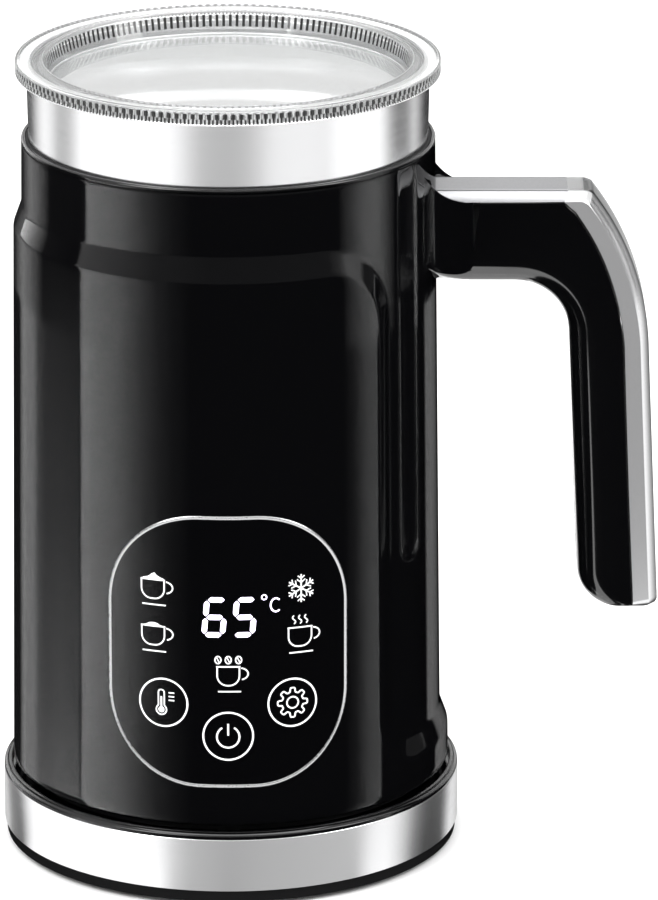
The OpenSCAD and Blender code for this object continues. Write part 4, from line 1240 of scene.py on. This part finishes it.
PAINT_LIGHT = [(-89, 0.12), (-60, 0.3), (-20, 1.1), (20, 1.1), (60, 0.3), (89, 0.12)]
CLEAR_LIGHT = [(-89, 0.4), (-78, 1.0), (-60, 1.15), (-56, 0.1), (-50, 0.1), (-46, 1.15),
               (46, 1.15), (50, 0.1), (56, 0.1), (60, 1.15), (78, 1.0), (89, 0.4)]


def card(name, points, faces, glow, receivers, see_through=False):
    """A card that only its receivers' reflections see, lit by the value at each corner."""
    mesh = bpy.data.meshes.new(name)
    mesh.from_pydata(np.asarray(points).reshape(-1, 3).tolist(), [], faces)
    light = mesh.attributes.new("glow", "FLOAT", "POINT")
    light.data.foreach_set("value", np.asarray(glow, float).ravel())
    made = bpy.data.materials.new(name)
    made.use_nodes = True
    made.cycles.emission_sampling = "NONE"
    tree = made.node_tree
    tree.nodes.clear()
    value = add(tree, "ShaderNodeAttribute", attribute_name="glow")
    surface = add(tree, "ShaderNodeEmission", {"Strength": value.outputs["Fac"]})
    if see_through:
        clear = add(tree, "ShaderNodeBsdfTransparent")
        surface = add(tree, "ShaderNodeAddShader", {0: surface, 1: clear})
    add(tree, "ShaderNodeOutputMaterial", {"Surface": surface})
    mesh.materials.append(made)
    holder = bpy.data.objects.new(name, mesh)
    bpy.context.scene.collection.objects.link(holder)
    for ray in ("camera", "diffuse", "shadow", "transmission"):
        setattr(holder, "visible_" + ray, False)
    lit = bpy.data.collections.new(name + "_receivers")
    for each in receivers:
        lit.objects.link(bpy.data.objects[each])
    holder.light_linking.receiver_collection = lit


LAYER = 0.0004


def fan(name, table, wall, rows, layer, receivers, see_through=True):
    """A card spread round the jug. Its rays start at a round wall and leave at twice their
    angle from the front, as the wall mirrors the camera; rows gives (reach, height, share of
    the light) from the wall outward. Cards lie one layer above another on the floor."""
    front = np.arange(-89.0, 89.5, 1.0)
    light = np.interp(front, [a for a, _ in table], [b for _, b in table])
    turn = np.radians(front)[:, None]
    reach, lift, share = (np.array([row[k] for row in rows])[None, :] for k in range(3))
    points = np.stack([wall * np.sin(turn) + reach * np.sin(2 * turn),
                       -wall * np.cos(turn) - reach * np.cos(2 * turn),
                       lift + layer * LAYER + 0 * turn], -1)
    card(name, points, grid_faces(len(front), len(rows)), light[:, None] * share, receivers,
         see_through)


class FROTHER_OT_stage(bpy.types.Operator):
    """Builds the pale floor, the soft studio light and the camera"""
    bl_idname = "frother.stage"
    bl_label = "Stage"

    def execute(self, context):
        scene = context.scene
        scene.view_settings.view_transform = "Standard"
        mesh = bpy.data.meshes.new("floor")
        reach = 4.0
        mesh.from_pydata([(-reach, -reach, 0), (reach, -reach, 0), (reach, reach, 0),
                          (-reach, reach, 0)], [], [(0, 1, 2, 3)])
        mesh.materials.append(new_material("pale_floor", Base_Color=linear("#f6f6f6"),
                                           Roughness=0.9, Specular_IOR_Level=0.1)[0])
        floor = bpy.data.objects.new("floor", mesh)
        scene.collection.objects.link(floor)

        world = bpy.data.worlds.new("studio")
        world.use_nodes = True
        sky = world.node_tree.nodes["Background"]
        sky.inputs["Color"].default_value = linear("#ffffff")
        sky.inputs["Strength"].default_value = 1.15
        scene.world = world
        for name, place, size, power in (("key", (-0.9, -0.7, 1.3), (0.7, 1.2), 14.0),
                                         ("fill", (1.1, -0.4, 1.1), (0.5, 1.1), 9.0),
                                         ("top", (0.0, 0.3, 1.8), (1.4, 1.0), 16.0)):
            lamp = bpy.data.lights.new(name, "AREA")
            lamp.shape = "RECTANGLE"
            lamp.size, lamp.size_y = size
            lamp.energy = power
            holder = bpy.data.objects.new(name, lamp)
            holder.location = place
            holder.rotation_euler = Vector([0, 0, 0.1] - np.array(place)).to_track_quat(
                "-Z", "Y").to_euler()
            scene.collection.objects.link(holder)
        self.cards()
        self.camera(scene)
        return {"FINISHED"}

    def cards(self):
        """Floor and wall cards, one set for each kind of finish. Only the lowest set is
        solid, so each finish sees its own light on black."""
        gloss = ("jug_shell_skin", "panel_sheet", "handle_grip", "base_cover_skin")
        level = [(0.0, 0, 1), (0.058, 0, 1), (0.3, 0, 1), (0.5, 0, 1)]
        fading = [(0.05, 0, 1.1), (0.13, 0, 0.6), (0.29, 0, 0.28), (0.38, 0, 0.2),
                  (0.47, 0, 0.12), (0.6, 0, 0)]
        for name, table, rows, layer, see_through in (
                ("gloss_floor", GLOSS_FLOOR, level, 1, False),
                ("gloss_far", GLOSS_FAR, [(0.5, 0, 1), (0.8, 0, 1), (2.2, 0, 0.6)], 1, False),
                ("gloss_wall", GLOSS_WALL, [(2.2, 0, 1), (2.2, 1.6, 1)], 1, False),
                ("gloss_near", GLOSS_NEAR, fading, 1.5, True)):
            fan(name, table, FOOT_R, rows, layer, gloss, see_through)
        rows = [(0.0, 0, 1.0), (0.06, 0, 1.0), (0.7, 0, 1.0), (2.0, 0, 1.0), (2.0, 1.6, 1.0)]
        for name, table, wall, layer, seen_by in (
                ("collar_fan", COLLAR_LIGHT, CUP_HIGH.x, 2, ("cup_skin",)),
                ("band_fan", BAND_LIGHT, BASE_R, 3, ("steel_band_skin",)),
                ("chrome_fan", CHROME_LIGHT, FOOT_R, 4, ("handle_spine",)),
                ("clear_fan", CLEAR_LIGHT, FOOT_R, 5,
                 ("lid_skin", "lid_seal_ring", "panel_trim_line")),
                ("paint_fan", PAINT_LIGHT, FOOT_R, 6, ("handle_plate",))):
            fan(name, table, wall, rows, layer, seen_by)
        self.strip("under_arm_card", (0.05, 0.0835),
                   [(-0.44, 0.0), (-0.4, 4.0), (-0.05, 3.2), (0.04, 1.8), (0.15, 1.2),
                    (0.8, 1.2)], (1.0, 1.0), ("handle_grip", "handle_root"))
        self.strip("grip_gradient_card", (0.0928, 0.0985),
                   [(-0.5, 0.0), (-0.43, 0.9), (-0.24, 1.0), (-0.17, 0.0)], (1.1, 0.0),
                   ("handle_grip",))
        self.strip("tip_card", (0.0965, 0.106),
                   [(-0.142, 0.0), (-0.136, 5.0), (-0.05, 3.6), (0.04, 1.8), (0.3, 1.2)],
                   (1.0, 1.0), ("handle_grip",))

    def strip(self, name, across, table, ends, receivers):
        """A narrow card on the floor under the handle: its light follows the table along Y,
        and runs from one end value to the other across X."""
        y, light = (np.array([row[k] for row in table]) for k in range(2))
        x = np.linspace(*across, 7)
        points = np.stack(np.broadcast_arrays(x[:, None], y[None, :], 7 * LAYER), -1)
        glow = np.linspace(*ends, len(x))[:, None] * light[None, :]
        card(name, points, grid_faces(len(x), len(y)), glow, receivers, see_through=True)

    def camera(self, scene):
        """A long lens, 1.9 m away and 18 degrees above the horizon."""
        pitch, distance = math.radians(17.957), 1.9011
        aim = np.array([0.02554, 0.0, 0.1028])
        lens = bpy.data.cameras.new("camera")
        lens.lens = 295.7
        lens.sensor_width = 36.0
        lens.clip_end = 20.0
        holder = bpy.data.objects.new("camera", lens)
        holder.location = aim + distance * np.array([0, -math.cos(pitch), math.sin(pitch)])
        holder.rotation_euler = (math.pi / 2 - pitch, 0, 0)
        scene.collection.objects.link(holder)
        scene.camera = holder


class FROTHER_PT_panel(bpy.types.Panel):
    """Lists the pieces that can be built"""
    bl_idname = "FROTHER_PT_panel"
    bl_label = "Milk frother"
    bl_space_type = "VIEW_3D"
    bl_region_type = "UI"
    bl_category = "Frother"

    def draw(self, context):
        for operator in OPERATORS:
            self.layout.operator(operator.bl_idname)
        for group in ("jug", "lid", "handle", "panel", "colours"):
            box = self.layout.box()
            box.label(text=group.capitalize())
            holder = getattr(context.scene, "frother_" + group)
            for key in holder.__annotations__:
                box.prop(holder, key)


GROUPS = {"jug": JugSizes, "lid": LidSizes, "handle": HandleSizes, "panel": PanelSizes,
          "colours": Colours}
OPERATORS = [FROTHER_OT_shell, FROTHER_OT_panel, FROTHER_OT_cup,
             FROTHER_OT_lid, FROTHER_OT_handle, FROTHER_OT_base, FROTHER_OT_whisk,
             FROTHER_OT_inside, FROTHER_OT_stage]


def register():
    for made in [*GROUPS.values(), *OPERATORS, FROTHER_PT_panel]:
        bpy.utils.register_class(made)
    for name, group in GROUPS.items():
        setattr(bpy.types.Scene, "frother_" + name, bpy.props.PointerProperty(type=group))


def unregister():
    for name in GROUPS:
        delattr(bpy.types.Scene, "frother_" + name)
    for made in [FROTHER_PT_panel, *OPERATORS[::-1], *list(GROUPS.values())[::-1]]:
        bpy.utils.unregister_class(made)


def main():
    register()
    bpy.ops.frother.shell()
    bpy.ops.frother.panel()
    bpy.ops.frother.cup()
    bpy.ops.frother.lid()
    bpy.ops.frother.handle()
    bpy.ops.frother.base()
    bpy.ops.frother.whisk()
    bpy.ops.frother.inside()
    bpy.ops.frother.stage()


if __name__ == "__main__":
    main()
